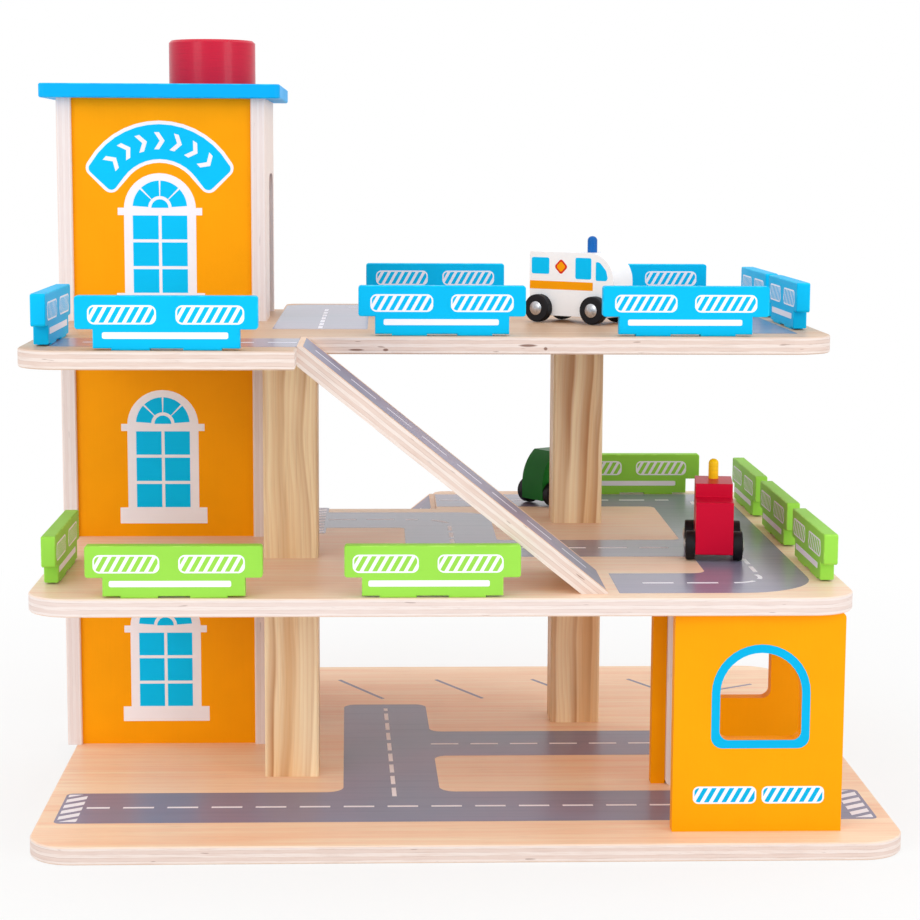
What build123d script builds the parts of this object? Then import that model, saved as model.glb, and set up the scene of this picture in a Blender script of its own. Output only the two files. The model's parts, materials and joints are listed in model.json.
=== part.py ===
"""Wooden toy parking garage: three floors joined by two ramps and a tower with a wound-up lift.

Millimetres, +Z up. The origin is the centre of the base board's underside, +X runs to the
right along the front and +Y runs to the rear.
"""

from build123d import *
from math import cos, radians, sin, tan
import os

os.makedirs("parts", exist_ok=True)

# Boards
board = 10.0  # plywood of the base, the decks and the ramps
panel = 9.0  # plywood of the tower walls and the booth
edge_break = 0.7  # chamfer sanded on every board edge
plan_corner = 25.0  # rounding of the boards' outer corners
short_corner = 9.0  # rounding of the corners beside the tower and the rear ramp
base_length = 480.0
base_depth = 424.0
deck_length = 452.0
middle_front_inset = 13.0  # middle deck's front edge, behind the base's
middle_rear_inset = 21.5  # middle deck's rear edge, in front of the base's
top_front_overhang = 5.0  # top deck's arm, in front of the base
top_rear_inset = 43.6  # top deck's rear edge, in front of the base's
arm_length = 147.0  # top deck's front arm, which ends at the ramp
main_front = 92.3  # front edge of the top deck's main field, behind the base's front edge
landing_strip = 11.6  # deck left standing behind the tower
ramp_notch = 229.0  # length of the middle deck's notch for the rear ramp
top_notch = 126.5  # length of the top deck's notch behind the tower

# Storeys, clear heights
ground_height = 123.0
middle_height = 124.8
top_height = 135.5

# Tower
tower_overhang = 5.4  # tower's left face, outside the boards' left edge
tower_width = 126.9
tower_depth = 100.1
tower_front = 210.6  # tower's front edge, behind the base's front edge
panel_recess = 3.0  # front panel, behind the side walls' front edges
door_width = 50.0
door_height = 90.0
door_corner = 12.0
shaft_strip = 12.0  # deck left standing at the left of the lift shaft
shaft_corner = 3.0
roof_thickness = 8.5
roof_overhang = 9.4
roof_corner = 4.0

# Posts
post_width = 32.0
post_depth = 30.0
post_break = 1.2
front_post_x = 138.7  # centres, from the base's left and front edges
front_post_y = 150.6
right_post_inset = 132.6  # centre of the right post, from the decks' right edge
right_post_back = 147.6  # and in front of the base's rear edge

# Ramps
ramp_width = 66.5
ramp_angle = 38.9
ramp_flat = 2.8  # level lip at the upper end
ramp_nose = 1.0  # blunt edge of the foot
ramp_front = 25.0  # front ramp's near side, behind the base's front edge
rear_ramp_gap = 0.8  # between the rear ramp and the side of its notch

# Attendant's booth
booth_inset = 99.7  # booth's left edge, from the decks' right edge
booth_width = 93.8
booth_front = 21.7
booth_rear = 117.0  # rear panel's front face, behind the base's front edge
booth_corner = 3.0
window_centre = 47.9  # from the booth's left edge
window_width = 45.0
window_sill = 51.8
window_spring = 78.2  # where the arch starts
window_corner = 5.0
rib_left = 8.3  # upright in the rear panel's groove, from the booth's left edge
rib_width = 9.0
rib_proud = 4.0
rib_groove = 3.0
rib_clearance = 0.1

# Barriers
barrier_length = 95.1
barrier_height = 28.4
barrier_thickness = 8.0
barrier_skirt = 11.0  # height of the narrower lower part
barrier_shoulder = 9.4  # how far the rail reaches past the skirt at each end
barrier_corner = 1.6
barrier_break = 0.5
foot_length = 20.0
foot_height = 1.0
foot_pitch = 37.3
top_side_inset = 7.6  # side barriers, from the deck's edges
middle_side_inset = 5.6
front_rail_inset = 3.0  # front barriers, behind the deck's front edge
field_rail_inset = 6.4  # barriers along the top deck's main field
top_rear_rail_inset = 2.4
middle_rear_rail_inset = 7.5
top_front_rail = 32.8  # barriers' left ends, from the base's left edge
top_field_shift = 6.1  # pair on the main field, to the left of an even spread
top_field_spread = 5.7  # and how much further apart than an even spread
top_rear_shift = 10.2  # pair along the rear, to the right of an even spread
middle_front_rail = 33.3
middle_front_pitch = 139.0
middle_rear_end = 34.8  # rear barrier's right end, from the deck's right edge
top_left_rail = 14.0  # side barriers' near ends, behind the base's front edge
top_right_rail = 138.4
top_right_pitch = 106.6
middle_left_rail = 46.3
middle_right_rail = 49.8
middle_right_pitch = 113.5

# Lift
run_gap = 0.3  # between moving pieces and what they rest on
bore_slack = 0.05  # radial clearance of shafts that turn
lift_clearance = 1.5  # lift car, from the walls of its shaft
lift_board = 6.0
lift_clear_height = 80.0
lift_wall = 6.0
eye_ring = 4.0  # cord eyes: ring radius to the wire's centre
eye_wire = 0.9
eye_shank = 5.0
guide_reach = 6.0  # free shank of the eye under the roof

# Winding knob
knob_radius = 27.0
knob_height = 28.0
knob_chamfer = 1.5
knob_x = 91.4  # axis, from the tower's left face
knob_y = 49.4  # axis, behind the tower's front edge
spindle_radius = 5.0
spindle_bite = 18.0  # spindle in the knob
drum_radius = 12.0
drum_height = 12.0
flange_radius = 16.0
flange_height = 2.0

# Vehicles
wheel_radius = 8.5
wheel_thickness = 5.4
wheel_round = 0.8
axle_radius = 1.5
hub_radius = 4.2
hub_height = 0.9
beacon_radius = 3.0
beacon_round = 2.8
tenon_radius = 2.0
tenon_length = 5.0
peg_slack = 0.05
belly_height = 4.0  # underside of the bodies above the floor
body_break = 0.8
ambulance_x = 313.6  # middle between the axles, from the base's left and front edges
ambulance_y = 208.0
ambulance_heading = -37.2
ambulance_width = 22.5
ambulance_height = 43.0
ambulance_wheelbase = 40.0
ambulance_tail = 8.4  # behind the rear axle
ambulance_nose = 12.2  # in front of the front axle
ambulance_brow = 17.0  # rounding of the roof's front
ambulance_chin = 5.0  # rounding below the nose
ambulance_beacon_height = 10.0
ambulance_beacon_back = 10.0  # beacon's axis, behind the front axle
truck_inset = 60.8  # middle between the axles, from the decks' right edge
truck_y = 147.4
truck_heading = 83.0
truck_width = 22.0
truck_height = 43.0
truck_bed_height = 35.0
truck_bed_length = 23.0
truck_wheelbase = 40.0
truck_tail = 8.4
truck_nose = 11.6
truck_round = 3.0
truck_beacon_height = 12.0
truck_beacon_back = 1.0
car_inset = 137.4  # middle between the axles, from the decks' right edge
car_back_inset = 74.6  # and in front of the base's rear edge
car_heading = 34.8
car_width = 22.0
car_height = 37.0
car_wheelbase = 30.0
car_tail = 8.5
car_nose = 9.5
car_waist = 15.0  # height where the rounded cabin starts
car_roof_front = 16.0  # flat of the roof, from the middle between the axles
car_roof_rear = 13.0
car_bonnet_height = 22.0

# Fixings
dowel_radius = 2.5
dowel_depth = 8.0  # in each upright
dowel_inset = 27.0  # tower dowels, from the inner faces of the side walls
peg_radius = 4.0  # post dowels
peg_depth = 14.0
blind_depth = 6.0  # dowels in a board's underside
roof_bite = 5.0  # dowels in the roof
glue_slack = 0.1  # radial room for glue
booth_dowel_inset = 16.0
screw_radius = 2.0
screw_head = 4.0
screw_head_height = 2.0
screw_bite = 14.0  # thread in the upright
screw_sink = 0.4  # head below the underside
pilot_extra = 1.0

# Levels and edges that follow from the sizes
left = -base_length / 2
front = -base_depth / 2
rear = base_depth / 2
base_top = board
middle_bottom = base_top + ground_height
middle_top = middle_bottom + board
top_bottom = middle_top + middle_height
top_top = top_bottom + board
roof_bottom = top_top + top_height
roof_top = roof_bottom + roof_thickness
deck_right = left + deck_length
middle_front = front + middle_front_inset
middle_rear = rear - middle_rear_inset
top_front = front - top_front_overhang
top_rear = rear - top_rear_inset
field_front = front + main_front
tower_left = left - tower_overhang
tower_right = tower_left + tower_width
tower_near = front + tower_front
tower_far = tower_near + tower_depth
landing_rear = tower_far + landing_strip
shaft_left = left + shaft_strip
shaft_right = tower_right - panel
shaft_front = tower_near + panel_recess + panel
shaft_rear = tower_far - panel
shaft_x = (shaft_left + shaft_right) / 2
shaft_y = (shaft_front + shaft_rear) / 2
booth_x = deck_right - booth_inset
truck_x = deck_length - truck_inset
car_x = deck_length - car_inset
car_y = base_depth - car_back_inset
field_gap = (deck_length - arm_length - 2 * barrier_length) / 3  # a pair leaves three gaps
rear_gap = (deck_length - top_notch - 2 * barrier_length) / 3
top_field_rail = arm_length + field_gap - top_field_shift
top_field_pitch = barrier_length + field_gap + top_field_spread
top_rear_rail = top_notch + rear_gap + top_rear_shift
top_rear_pitch = barrier_length + rear_gap
middle_rear_rail = deck_length - middle_rear_end - barrier_length

# Where uprights are fixed to the boards
post_spots = [
    (left + front_post_x, front + front_post_y),
    (deck_right - right_post_inset, rear - right_post_back),
]
panel_inner_left = tower_left + panel
panel_spots = [
    (x, y)
    for x in (panel_inner_left + dowel_inset, shaft_right - dowel_inset)
    for y in (shaft_front - panel / 2, shaft_rear + panel / 2)
]
booth_spots = [
    (x, front + y + panel / 2)
    for x in (booth_x + booth_dowel_inset + rib_width, booth_x + booth_width - booth_dowel_inset)
    for y in (booth_front, booth_rear)
]


def down(x, y, z):
    """Plane at a point, facing down: a hole made on it goes up."""
    return Plane(origin=(x, y, z), x_dir=(1, 0, 0), z_dir=(0, 0, -1))


def up(x, y, z):
    """Plane at a point, facing up: a hole made on it goes down."""
    return Plane(origin=(x, y, z), x_dir=(1, 0, 0), z_dir=(0, 0, 1))


def facing_front(x, y, z):
    """Upright plane facing the front: x to the right and y up."""
    return Plane(origin=(x, y, z), x_dir=(1, 0, 0), z_dir=(0, -1, 0))


def facing_right(x, y, z):
    """Upright plane facing the right: x to the rear and y up."""
    return Plane(origin=(x, y, z), x_dir=(0, 1, 0), z_dir=(1, 0, 0))


def save(piece, name):
    """Label a finished piece and write it."""
    piece.part.label = name
    export_step(piece.part, f"parts/{name}.step")


# Boards ---------------------------------------------------------------------------------

with BuildPart() as base_board:
    with BuildSketch():
        RectangleRounded(base_length, base_depth, plan_corner)
    extrude(amount=board)
    chamfer(base_board.faces().filter_by(Axis.Z).edges(), edge_break)
    with Locations(*[down(x, y, 0) for x, y in post_spots + panel_spots + booth_spots]):
        CounterSinkHole(
            screw_radius + glue_slack,
            screw_head + screw_sink + glue_slack,
            depth=board,
            counter_sink_angle=90,
        )
save(base_board, "base_board")

with BuildPart() as middle_deck:
    with BuildSketch(Plane.XY.offset(middle_bottom)):
        with BuildLine():
            FilletPolyline(
                (left, middle_front),
                (deck_right, middle_front),
                (deck_right, middle_rear),
                (left + ramp_notch, middle_rear),
                (left + ramp_notch, landing_rear),
                (left, landing_rear),
                radius=(plan_corner, plan_corner, plan_corner, short_corner, 0, short_corner),
                close=True,
            )
        make_face()
        with Locations((shaft_x, shaft_y)):
            RectangleRounded(
                shaft_right - shaft_left, shaft_rear - shaft_front, shaft_corner, mode=Mode.SUBTRACT
            )
    extrude(amount=board)
    chamfer(middle_deck.faces().filter_by(Axis.Z).edges(), edge_break)
    with Locations(*[up(x, y, middle_top) for x, y in panel_spots]):
        Hole(dowel_radius + glue_slack, depth=board)
    with Locations(*[up(x, y, middle_top) for x, y in post_spots]):
        Hole(peg_radius + glue_slack, depth=board)
    with Locations(*[down(x, y, middle_bottom) for x, y in booth_spots]):
        Hole(dowel_radius + glue_slack, depth=blind_depth)
save(middle_deck, "middle_deck")

with BuildPart() as top_deck:
    with BuildSketch(Plane.XY.offset(top_bottom)):
        with BuildLine():
            FilletPolyline(
                (left, top_front),
                (left + arm_length, top_front),
                (left + arm_length, field_front),
                (deck_right, field_front),
                (deck_right, top_rear),
                (left + top_notch, top_rear),
                (left + top_notch, landing_rear),
                (left, landing_rear),
                radius=(plan_corner, 0, 0, plan_corner, plan_corner, short_corner, 0, short_corner),
                close=True,
            )
        make_face()
        with Locations((shaft_x, shaft_y)):
            RectangleRounded(
                shaft_right - shaft_left, shaft_rear - shaft_front, shaft_corner, mode=Mode.SUBTRACT
            )
    extrude(amount=board)
    chamfer(top_deck.faces().filter_by(Axis.Z).edges(), edge_break)
    with Locations(*[up(x, y, top_top) for x, y in panel_spots]):
        Hole(dowel_radius + glue_slack, depth=board)
    with Locations(*[down(x, y, top_bottom) for x, y in post_spots]):
        Hole(peg_radius + glue_slack, depth=blind_depth)
save(top_deck, "top_deck")

# Tower ----------------------------------------------------------------------------------


def build_wall(name, x, floor, height, door):
    """Side wall of one storey; a door lets cars roll between the lift and the floor."""
    with BuildPart() as wall:
        with BuildSketch(facing_right(x, tower_near, floor)):
            Rectangle(tower_depth, height, align=Align.MIN)
            if door:
                with BuildSketch(mode=Mode.SUBTRACT) as doorway:
                    with Locations((shaft_rear - tower_near, 0)):
                        Rectangle(door_width, door_height, align=(Align.MAX, Align.MIN))
                    fillet(doorway.vertices().group_by(Axis.Y)[-1], door_corner)
        extrude(amount=panel)
        chamfer(wall.edges().filter_by(Axis.Z).group_by(Axis.Y)[0], edge_break)
    save(wall, name)


def build_panel(name, y, floor, height, floor_fixing):
    """Front or rear panel of one storey, between the side walls."""
    with BuildPart() as sheet:
        with BuildSketch(facing_front(panel_inner_left, y, floor)):
            Rectangle(shaft_right - panel_inner_left, height, align=Align.MIN)
        extrude(amount=-panel)
        own_spots = [spot for spot in panel_spots if abs(spot[1] - y - panel / 2) < panel / 2]
        with Locations(*[up(*spot, floor + height) for spot in own_spots]):
            Hole(dowel_radius + glue_slack, depth=dowel_depth)
        with Locations(*[down(*spot, floor) for spot in own_spots]):
            Hole(*floor_fixing)
    save(sheet, name)


screw_pilot = (screw_radius + glue_slack, screw_bite + pilot_extra)
dowel_seat = (dowel_radius + glue_slack, dowel_depth)
storeys = {
    "ground": (base_top, ground_height, screw_pilot),
    "middle": (middle_top, middle_height, dowel_seat),
    "top": (top_top, top_height, dowel_seat),
}
for storey, (floor, height, fixing) in storeys.items():
    build_wall(f"{storey}_left_wall", tower_left, floor, height, door=False)
    build_wall(f"{storey}_right_wall", shaft_right, floor, height, door=True)
    build_panel(f"{storey}_front_panel", shaft_front - panel, floor, height, fixing)
    build_panel(f"{storey}_rear_panel", shaft_rear, floor, height, fixing)

knob_spot = (tower_left + knob_x, tower_near + knob_y)

with BuildPart() as roof_board:
    with BuildSketch(Plane.XY.offset(roof_bottom)):
        with Locations(((tower_left + tower_right) / 2, (tower_near + tower_far) / 2)):
            RectangleRounded(
                tower_width + 2 * roof_overhang, tower_depth + 2 * roof_overhang, roof_corner
            )
    extrude(amount=roof_thickness)
    chamfer(roof_board.faces().filter_by(Axis.Z).edges(), edge_break)
    with Locations(up(*knob_spot, roof_top)):
        Hole(spindle_radius + bore_slack, depth=roof_thickness)
    with Locations(*[down(*spot, roof_bottom) for spot in panel_spots]):
        Hole(dowel_radius + glue_slack, depth=roof_bite)
    with Locations(down(shaft_x, shaft_y, roof_bottom)):
        Hole(eye_wire + glue_slack, depth=eye_shank)
save(roof_board, "roof_board")

# Posts ----------------------------------------------------------------------------------


def build_post(name, spot, floor, height, floor_fixing, head_fixing):
    """Square pine post between two boards."""
    with BuildPart() as post:
        with BuildSketch(Plane.XY.offset(floor)):
            with Locations(spot):
                Rectangle(post_width, post_depth)
        extrude(amount=height)
        chamfer(post.edges().filter_by(Axis.Z), post_break)
        with Locations(down(*spot, floor)):
            Hole(*floor_fixing)
        with Locations(up(*spot, floor + height)):
            Hole(*head_fixing)
    save(post, name)


peg_seat = (peg_radius + glue_slack, peg_depth)
for place, spot in zip(("front", "right"), post_spots):
    build_post(f"post_lower_{place}", spot, base_top, ground_height, screw_pilot, peg_seat)
    build_post(f"post_upper_{place}", spot, middle_top, middle_height, peg_seat, peg_seat)

# Ramps ----------------------------------------------------------------------------------


def build_ramp(name, head, near_side, upper, lower, direction):
    """Sloping board from the end of a deck down to the floor below; its foot is cut level."""
    rise = upper - lower
    slope = tan(radians(ramp_angle))
    foot = ramp_flat + (rise - ramp_nose) / slope
    heel = ramp_flat + rise / slope - board / sin(radians(ramp_angle))
    under_head = rise + ramp_flat * slope - board / cos(radians(ramp_angle))
    with BuildPart() as ramp:
        with BuildSketch(facing_front(head, near_side, lower)):
            with BuildLine():
                Polyline(
                    (0, rise),
                    (direction * ramp_flat, rise),
                    (direction * foot, ramp_nose),
                    (direction * foot, 0),
                    (direction * heel, 0),
                    (0, under_head),
                    close=True,
                )
            make_face()
        extrude(amount=-ramp_width)
    save(ramp, name)


build_ramp("front_ramp", left + arm_length, front + ramp_front, top_top, middle_top, 1)
build_ramp("rear_ramp", left + ramp_notch, landing_rear + rear_ramp_gap, middle_top, base_top, -1)

# Booth ----------------------------------------------------------------------------------


def build_booth_panel(name, face, grooved):
    """Upright panel with an arched window."""
    with BuildPart() as sheet:
        with BuildSketch(facing_front(booth_x, face, base_top)):
            with BuildSketch(mode=Mode.ADD) as outline:
                Rectangle(booth_width, ground_height, align=Align.MIN)
                fillet(outline.vertices().group_by(Axis.Y)[-1], booth_corner)
            with BuildSketch(mode=Mode.SUBTRACT) as window:
                with Locations((window_centre, window_sill)):
                    Rectangle(
                        window_width, window_spring - window_sill, align=(Align.CENTER, Align.MIN)
                    )
                fillet(window.vertices().group_by(Axis.Y)[0], window_corner)
                with Locations((window_centre, window_spring)):
                    Circle(window_width / 2)
        extrude(amount=-panel)
        own_spots = [spot for spot in booth_spots if abs(spot[1] - face - panel / 2) < panel / 2]
        with Locations(*[up(*spot, middle_bottom) for spot in own_spots]):
            Hole(*dowel_seat)
        with Locations(*[down(*spot, base_top) for spot in own_spots]):
            Hole(*screw_pilot)
        if grooved:
            with BuildSketch(facing_front(booth_x + rib_left, face, base_top)):
                with Locations((-rib_clearance, 0)):
                    Rectangle(rib_width + 2 * rib_clearance, ground_height, align=Align.MIN)
            extrude(amount=-rib_groove - rib_clearance, mode=Mode.SUBTRACT)
    save(sheet, name)


build_booth_panel("booth_front_panel", front + booth_front, grooved=False)
build_booth_panel("booth_rear_panel", front + booth_rear, grooved=True)

with BuildPart() as booth_rib:
    with BuildSketch(facing_front(booth_x + rib_left, front + booth_rear - rib_proud, base_top)) as rib:
        Rectangle(rib_width, ground_height, align=Align.MIN)
        fillet(rib.vertices().group_by(Axis.Y)[0].sort_by(Axis.X)[0], booth_corner)
    extrude(amount=-rib_proud - rib_groove)
save(booth_rib, "booth_rib")

# Barriers -------------------------------------------------------------------------------


def build_barriers(name, *faces):
    """Barriers on low feet, each cut from one board; a face's origin is its near lower corner."""
    with BuildPart() as barriers:
        for face in faces:
            with BuildSketch(face):
                with Locations((barrier_length / 2, (barrier_skirt + barrier_height) / 2)):
                    RectangleRounded(barrier_length, barrier_height - barrier_skirt, barrier_corner)
                with Locations((barrier_shoulder, foot_height)):
                    Rectangle(
                        barrier_length - 2 * barrier_shoulder,
                        barrier_skirt + barrier_corner - foot_height,
                        align=Align.MIN,
                    )
                with Locations(
                    (barrier_length / 2 - foot_pitch / 2, 0), (barrier_length / 2 + foot_pitch / 2, 0)
                ):
                    Rectangle(foot_length, 2 * foot_height, align=(Align.CENTER, Align.MIN))
            extrude(amount=-barrier_thickness)
        rims = barriers.faces().filter_by(Axis((0, 0, 0), faces[0].z_dir))
        chamfer(rims.edges(), barrier_break)
    save(barriers, name)


def top_rail(x, y):
    """Face of a barrier that runs along the top deck's length."""
    return facing_front(left + x, y, top_top)


def middle_rail(x, y):
    """Face of a barrier that runs along the middle deck's length."""
    return facing_front(left + x, y, middle_top)


top_left_x = left + top_side_inset + barrier_thickness
top_right_x = deck_right - top_side_inset
middle_left_x = left + middle_side_inset + barrier_thickness
middle_right_x = deck_right - middle_side_inset
top_rear_y = top_rear - top_rear_rail_inset - barrier_thickness
middle_rear_y = middle_rear - middle_rear_rail_inset - barrier_thickness

build_barriers("blue_barrier_left", facing_right(top_left_x, front + top_left_rail, top_top))
build_barriers("blue_barrier_front_1", top_rail(top_front_rail, top_front + front_rail_inset))
build_barriers("blue_barrier_front_2", top_rail(top_field_rail, field_front + field_rail_inset))
build_barriers(
    "blue_barrier_front_3", top_rail(top_field_rail + top_field_pitch, field_front + field_rail_inset)
)
build_barriers(
    "blue_barriers_rear",
    top_rail(top_rear_rail, top_rear_y),
    top_rail(top_rear_rail + top_rear_pitch, top_rear_y),
)
build_barriers("blue_barrier_right_1", facing_right(top_right_x, front + top_right_rail, top_top))
build_barriers(
    "blue_barrier_right_2",
    facing_right(top_right_x, front + top_right_rail + top_right_pitch, top_top),
)
build_barriers("green_barrier_left", facing_right(middle_left_x, front + middle_left_rail, middle_top))
build_barriers(
    "green_barrier_front_1", middle_rail(middle_front_rail, middle_front + front_rail_inset)
)
build_barriers(
    "green_barrier_front_2",
    middle_rail(middle_front_rail + middle_front_pitch, middle_front + front_rail_inset),
)
build_barriers("green_barrier_rear", middle_rail(middle_rear_rail, middle_rear_y))
build_barriers(
    "green_barriers_right",
    *[
        facing_right(middle_right_x, front + middle_right_rail + step * middle_right_pitch, middle_top)
        for step in range(3)
    ],
)

# Lift and winder ------------------------------------------------------------------------

lift_left = shaft_left + lift_clearance
lift_front = shaft_front + lift_clearance
lift_length = shaft_right - shaft_left - 2 * lift_clearance
lift_depth = shaft_rear - shaft_front - 2 * lift_clearance
lift_bottom = base_top + run_gap
lift_roof_bottom = lift_bottom + lift_board + lift_clear_height
lift_roof_top = lift_roof_bottom + lift_board

with BuildPart() as lift_floor:
    with BuildSketch(Plane.XY.offset(lift_bottom)):
        with Locations((shaft_x, shaft_y)):
            Rectangle(lift_length, lift_depth)
    extrude(amount=lift_board)
    chamfer(lift_floor.faces().sort_by(Axis.Z)[-1].edges().sort_by(Axis.X)[-1], edge_break)
save(lift_floor, "lift_floor")

with BuildPart() as lift_sides:
    with BuildSketch(Plane.XY.offset(lift_bottom + lift_board)):
        with Locations((shaft_x, shaft_y)):
            Rectangle(lift_length, lift_depth)
        with Locations((lift_left + lift_wall, shaft_y)):
            Rectangle(
                lift_length,
                lift_depth - 2 * lift_wall,
                align=(Align.MIN, Align.CENTER),
                mode=Mode.SUBTRACT,
            )
    extrude(amount=lift_clear_height)
save(lift_sides, "lift_sides")

with BuildPart() as lift_roof:
    with BuildSketch(Plane.XY.offset(lift_roof_bottom)):
        with Locations((shaft_x, shaft_y)):
            Rectangle(lift_length, lift_depth)
    extrude(amount=lift_board)
    with Locations(up(shaft_x, shaft_y, lift_roof_top)):
        Hole(eye_wire + glue_slack, depth=eye_shank)
save(lift_roof, "lift_roof")


def build_eye(name, face, reach):
    """Screw eye for the lift cord: a closed ring on a shank that sits in a board's face."""
    with BuildPart() as eye:
        with BuildSketch(face):
            Circle(eye_wire)
        extrude(amount=reach)
        with BuildSketch(face):
            Circle(eye_wire)
        extrude(amount=-eye_shank + glue_slack)
        ring_centre = face.origin + face.z_dir * (reach + eye_ring)
        with BuildSketch(Plane(origin=ring_centre, x_dir=face.z_dir, z_dir=face.x_dir)):
            with Locations((eye_ring, 0)):
                Circle(eye_wire)
        revolve(axis=Axis(ring_centre, face.y_dir))
    save(eye, name)


build_eye("lift_eye", up(shaft_x, shaft_y, lift_roof_top), eye_wire)
build_eye("cord_guide", down(shaft_x, shaft_y, roof_bottom), guide_reach)

knob_bottom = roof_top + run_gap

with BuildPart() as knob:
    with BuildSketch(Plane.XY.offset(knob_bottom)):
        with Locations(knob_spot):
            Circle(knob_radius)
    extrude(amount=knob_height)
    chamfer(knob.faces().sort_by(Axis.Z)[-1].edges(), knob_chamfer)
    chamfer(knob.faces().sort_by(Axis.Z)[0].edges(), edge_break)
    with Locations(down(*knob_spot, knob_bottom)):
        Hole(spindle_radius + glue_slack, depth=spindle_bite + glue_slack)
save(knob, "knob")

with BuildPart() as spindle:
    with BuildSketch(Plane(origin=(*knob_spot, roof_bottom - run_gap), x_dir=(1, 0, 0), z_dir=(0, -1, 0))):
        with BuildLine():
            Polyline(
                (0, 0),
                (0, -drum_height - 2 * flange_height),
                (flange_radius, -drum_height - 2 * flange_height),
                (flange_radius, -drum_height - flange_height),
                (drum_radius, -drum_height - flange_height),
                (drum_radius, -flange_height),
                (flange_radius, -flange_height),
                (flange_radius, 0),
                close=True,
            )
        make_face()
        Rectangle(spindle_radius, roof_thickness + 2 * run_gap + spindle_bite, align=Align.MIN)
    revolve(axis=Axis((*knob_spot, 0), (0, 0, 1)))
save(spindle, "spindle")

# Vehicles -------------------------------------------------------------------------------


def vehicle_side(x, y, floor, heading):
    """Upright plane through a vehicle's middle: x forward, y up, facing its right side."""
    ahead = Vector(cos(radians(heading)), sin(radians(heading)), 0)
    to_right = Vector(sin(radians(heading)), -cos(radians(heading)), 0)
    return Plane(origin=(left + x, front + y, floor + run_gap), x_dir=ahead, z_dir=to_right)


def cut_axle_bores(wheelbase):
    """Axle bores through the side profile in progress."""
    with Locations((-wheelbase / 2, wheel_radius), (wheelbase / 2, wheel_radius)):
        Circle(axle_radius + peg_slack, mode=Mode.SUBTRACT)


def build_gear(name, side, wheelbase, body_width):
    """Two steel axles with domed heads and a pair of wheels on each."""
    wheel_inner = body_width / 2 + run_gap
    wheel_outer = wheel_inner + wheel_thickness
    with BuildPart() as axles:
        for x in (-wheelbase / 2, wheelbase / 2):
            centre = side.from_local_coords((x, wheel_radius, 0))
            for turned in (1, -1):
                across = Plane(origin=centre, x_dir=side.x_dir, z_dir=side.z_dir * turned)
                profile = Plane(origin=centre, x_dir=across.x_dir, z_dir=across.y_dir * -1)
                with BuildSketch(profile):
                    with BuildLine():
                        Polyline(
                            (hub_radius, wheel_outer + run_gap),
                            (axle_radius, wheel_outer + run_gap),
                            (axle_radius, 0),
                            (0, 0),
                            (0, wheel_outer + run_gap + hub_height),
                        )
                        TangentArc(
                            (0, wheel_outer + run_gap + hub_height),
                            (hub_radius, wheel_outer + run_gap),
                            tangent=(1, 0),
                        )
                    make_face()
                revolve(axis=Axis(centre, across.z_dir))
    save(axles, f"{name}_axles")
    for place, x in (("rear", -wheelbase / 2), ("front", wheelbase / 2)):
        with BuildPart() as wheels:
            centre = side.from_local_coords((x, wheel_radius, 0))
            for turned in (1, -1):
                across = Plane(origin=centre, x_dir=side.x_dir, z_dir=side.z_dir * turned)
                with BuildSketch(across.offset(wheel_inner)):
                    Circle(wheel_radius)
                    Circle(axle_radius + bore_slack, mode=Mode.SUBTRACT)
                extrude(amount=wheel_thickness)
            rims = wheels.edges().filter_by(GeomType.CIRCLE).filter_by(lambda e: e.radius > hub_radius)
            outer_rims = rims.filter_by(
                lambda e: abs(side.to_local_coords(e.center()).Z) > wheel_inner + wheel_round
            )
            fillet(outer_rims, wheel_round)
        save(wheels, f"{name}_{place}_wheels")


def build_beacon(name, seat, height):
    """Turned light with a rounded head and a tenon in the roof."""
    with BuildPart() as beacon:
        with BuildSketch(seat):
            Circle(beacon_radius)
        extrude(amount=height)
        fillet(beacon.faces().sort_by(Axis.Z)[-1].edges(), beacon_round)
        with BuildSketch(seat):
            Circle(tenon_radius)
        extrude(amount=-tenon_length)
    save(beacon, name)


ambulance_side = vehicle_side(ambulance_x, ambulance_y, top_top, ambulance_heading)
ambulance_seat = up(
    *ambulance_side.from_local_coords(
        (ambulance_wheelbase / 2 - ambulance_beacon_back, ambulance_height, 0)
    )
)
with BuildPart() as ambulance_body:
    with BuildSketch(ambulance_side):
        with BuildLine():
            FilletPolyline(
                (-ambulance_wheelbase / 2 - ambulance_tail, belly_height),
                (ambulance_wheelbase / 2 + ambulance_nose, belly_height),
                (ambulance_wheelbase / 2 + ambulance_nose, ambulance_height),
                (-ambulance_wheelbase / 2 - ambulance_tail, ambulance_height),
                radius=(body_break, ambulance_chin, ambulance_brow, body_break),
                close=True,
            )
        make_face()
        cut_axle_bores(ambulance_wheelbase)
    extrude(amount=ambulance_width / 2, both=True)
    with Locations(ambulance_seat):
        Hole(tenon_radius + peg_slack, depth=tenon_length + peg_slack)
save(ambulance_body, "ambulance_body")
build_gear("ambulance", ambulance_side, ambulance_wheelbase, ambulance_width)
build_beacon("ambulance_beacon", ambulance_seat, ambulance_beacon_height)

truck_side = vehicle_side(truck_x, truck_y, middle_top, truck_heading)
truck_seat = up(
    *truck_side.from_local_coords((truck_wheelbase / 2 - truck_beacon_back, truck_height, 0))
)
truck_cab = truck_bed_length - truck_tail - truck_wheelbase / 2
with BuildPart() as truck_body:
    with BuildSketch(truck_side):
        with BuildLine():
            FilletPolyline(
                (-truck_wheelbase / 2 - truck_tail, belly_height),
                (truck_wheelbase / 2 + truck_nose, belly_height),
                (truck_wheelbase / 2 + truck_nose, truck_height),
                (truck_cab, truck_height),
                (truck_cab, truck_bed_height),
                (-truck_wheelbase / 2 - truck_tail, truck_bed_height),
                radius=(body_break, truck_round, truck_round, body_break, body_break, body_break),
                close=True,
            )
        make_face()
        cut_axle_bores(truck_wheelbase)
    extrude(amount=truck_width / 2, both=True)
    with Locations(truck_seat):
        Hole(tenon_radius + peg_slack, depth=tenon_length + peg_slack)
save(truck_body, "truck_body")
build_gear("truck", truck_side, truck_wheelbase, truck_width)
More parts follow.
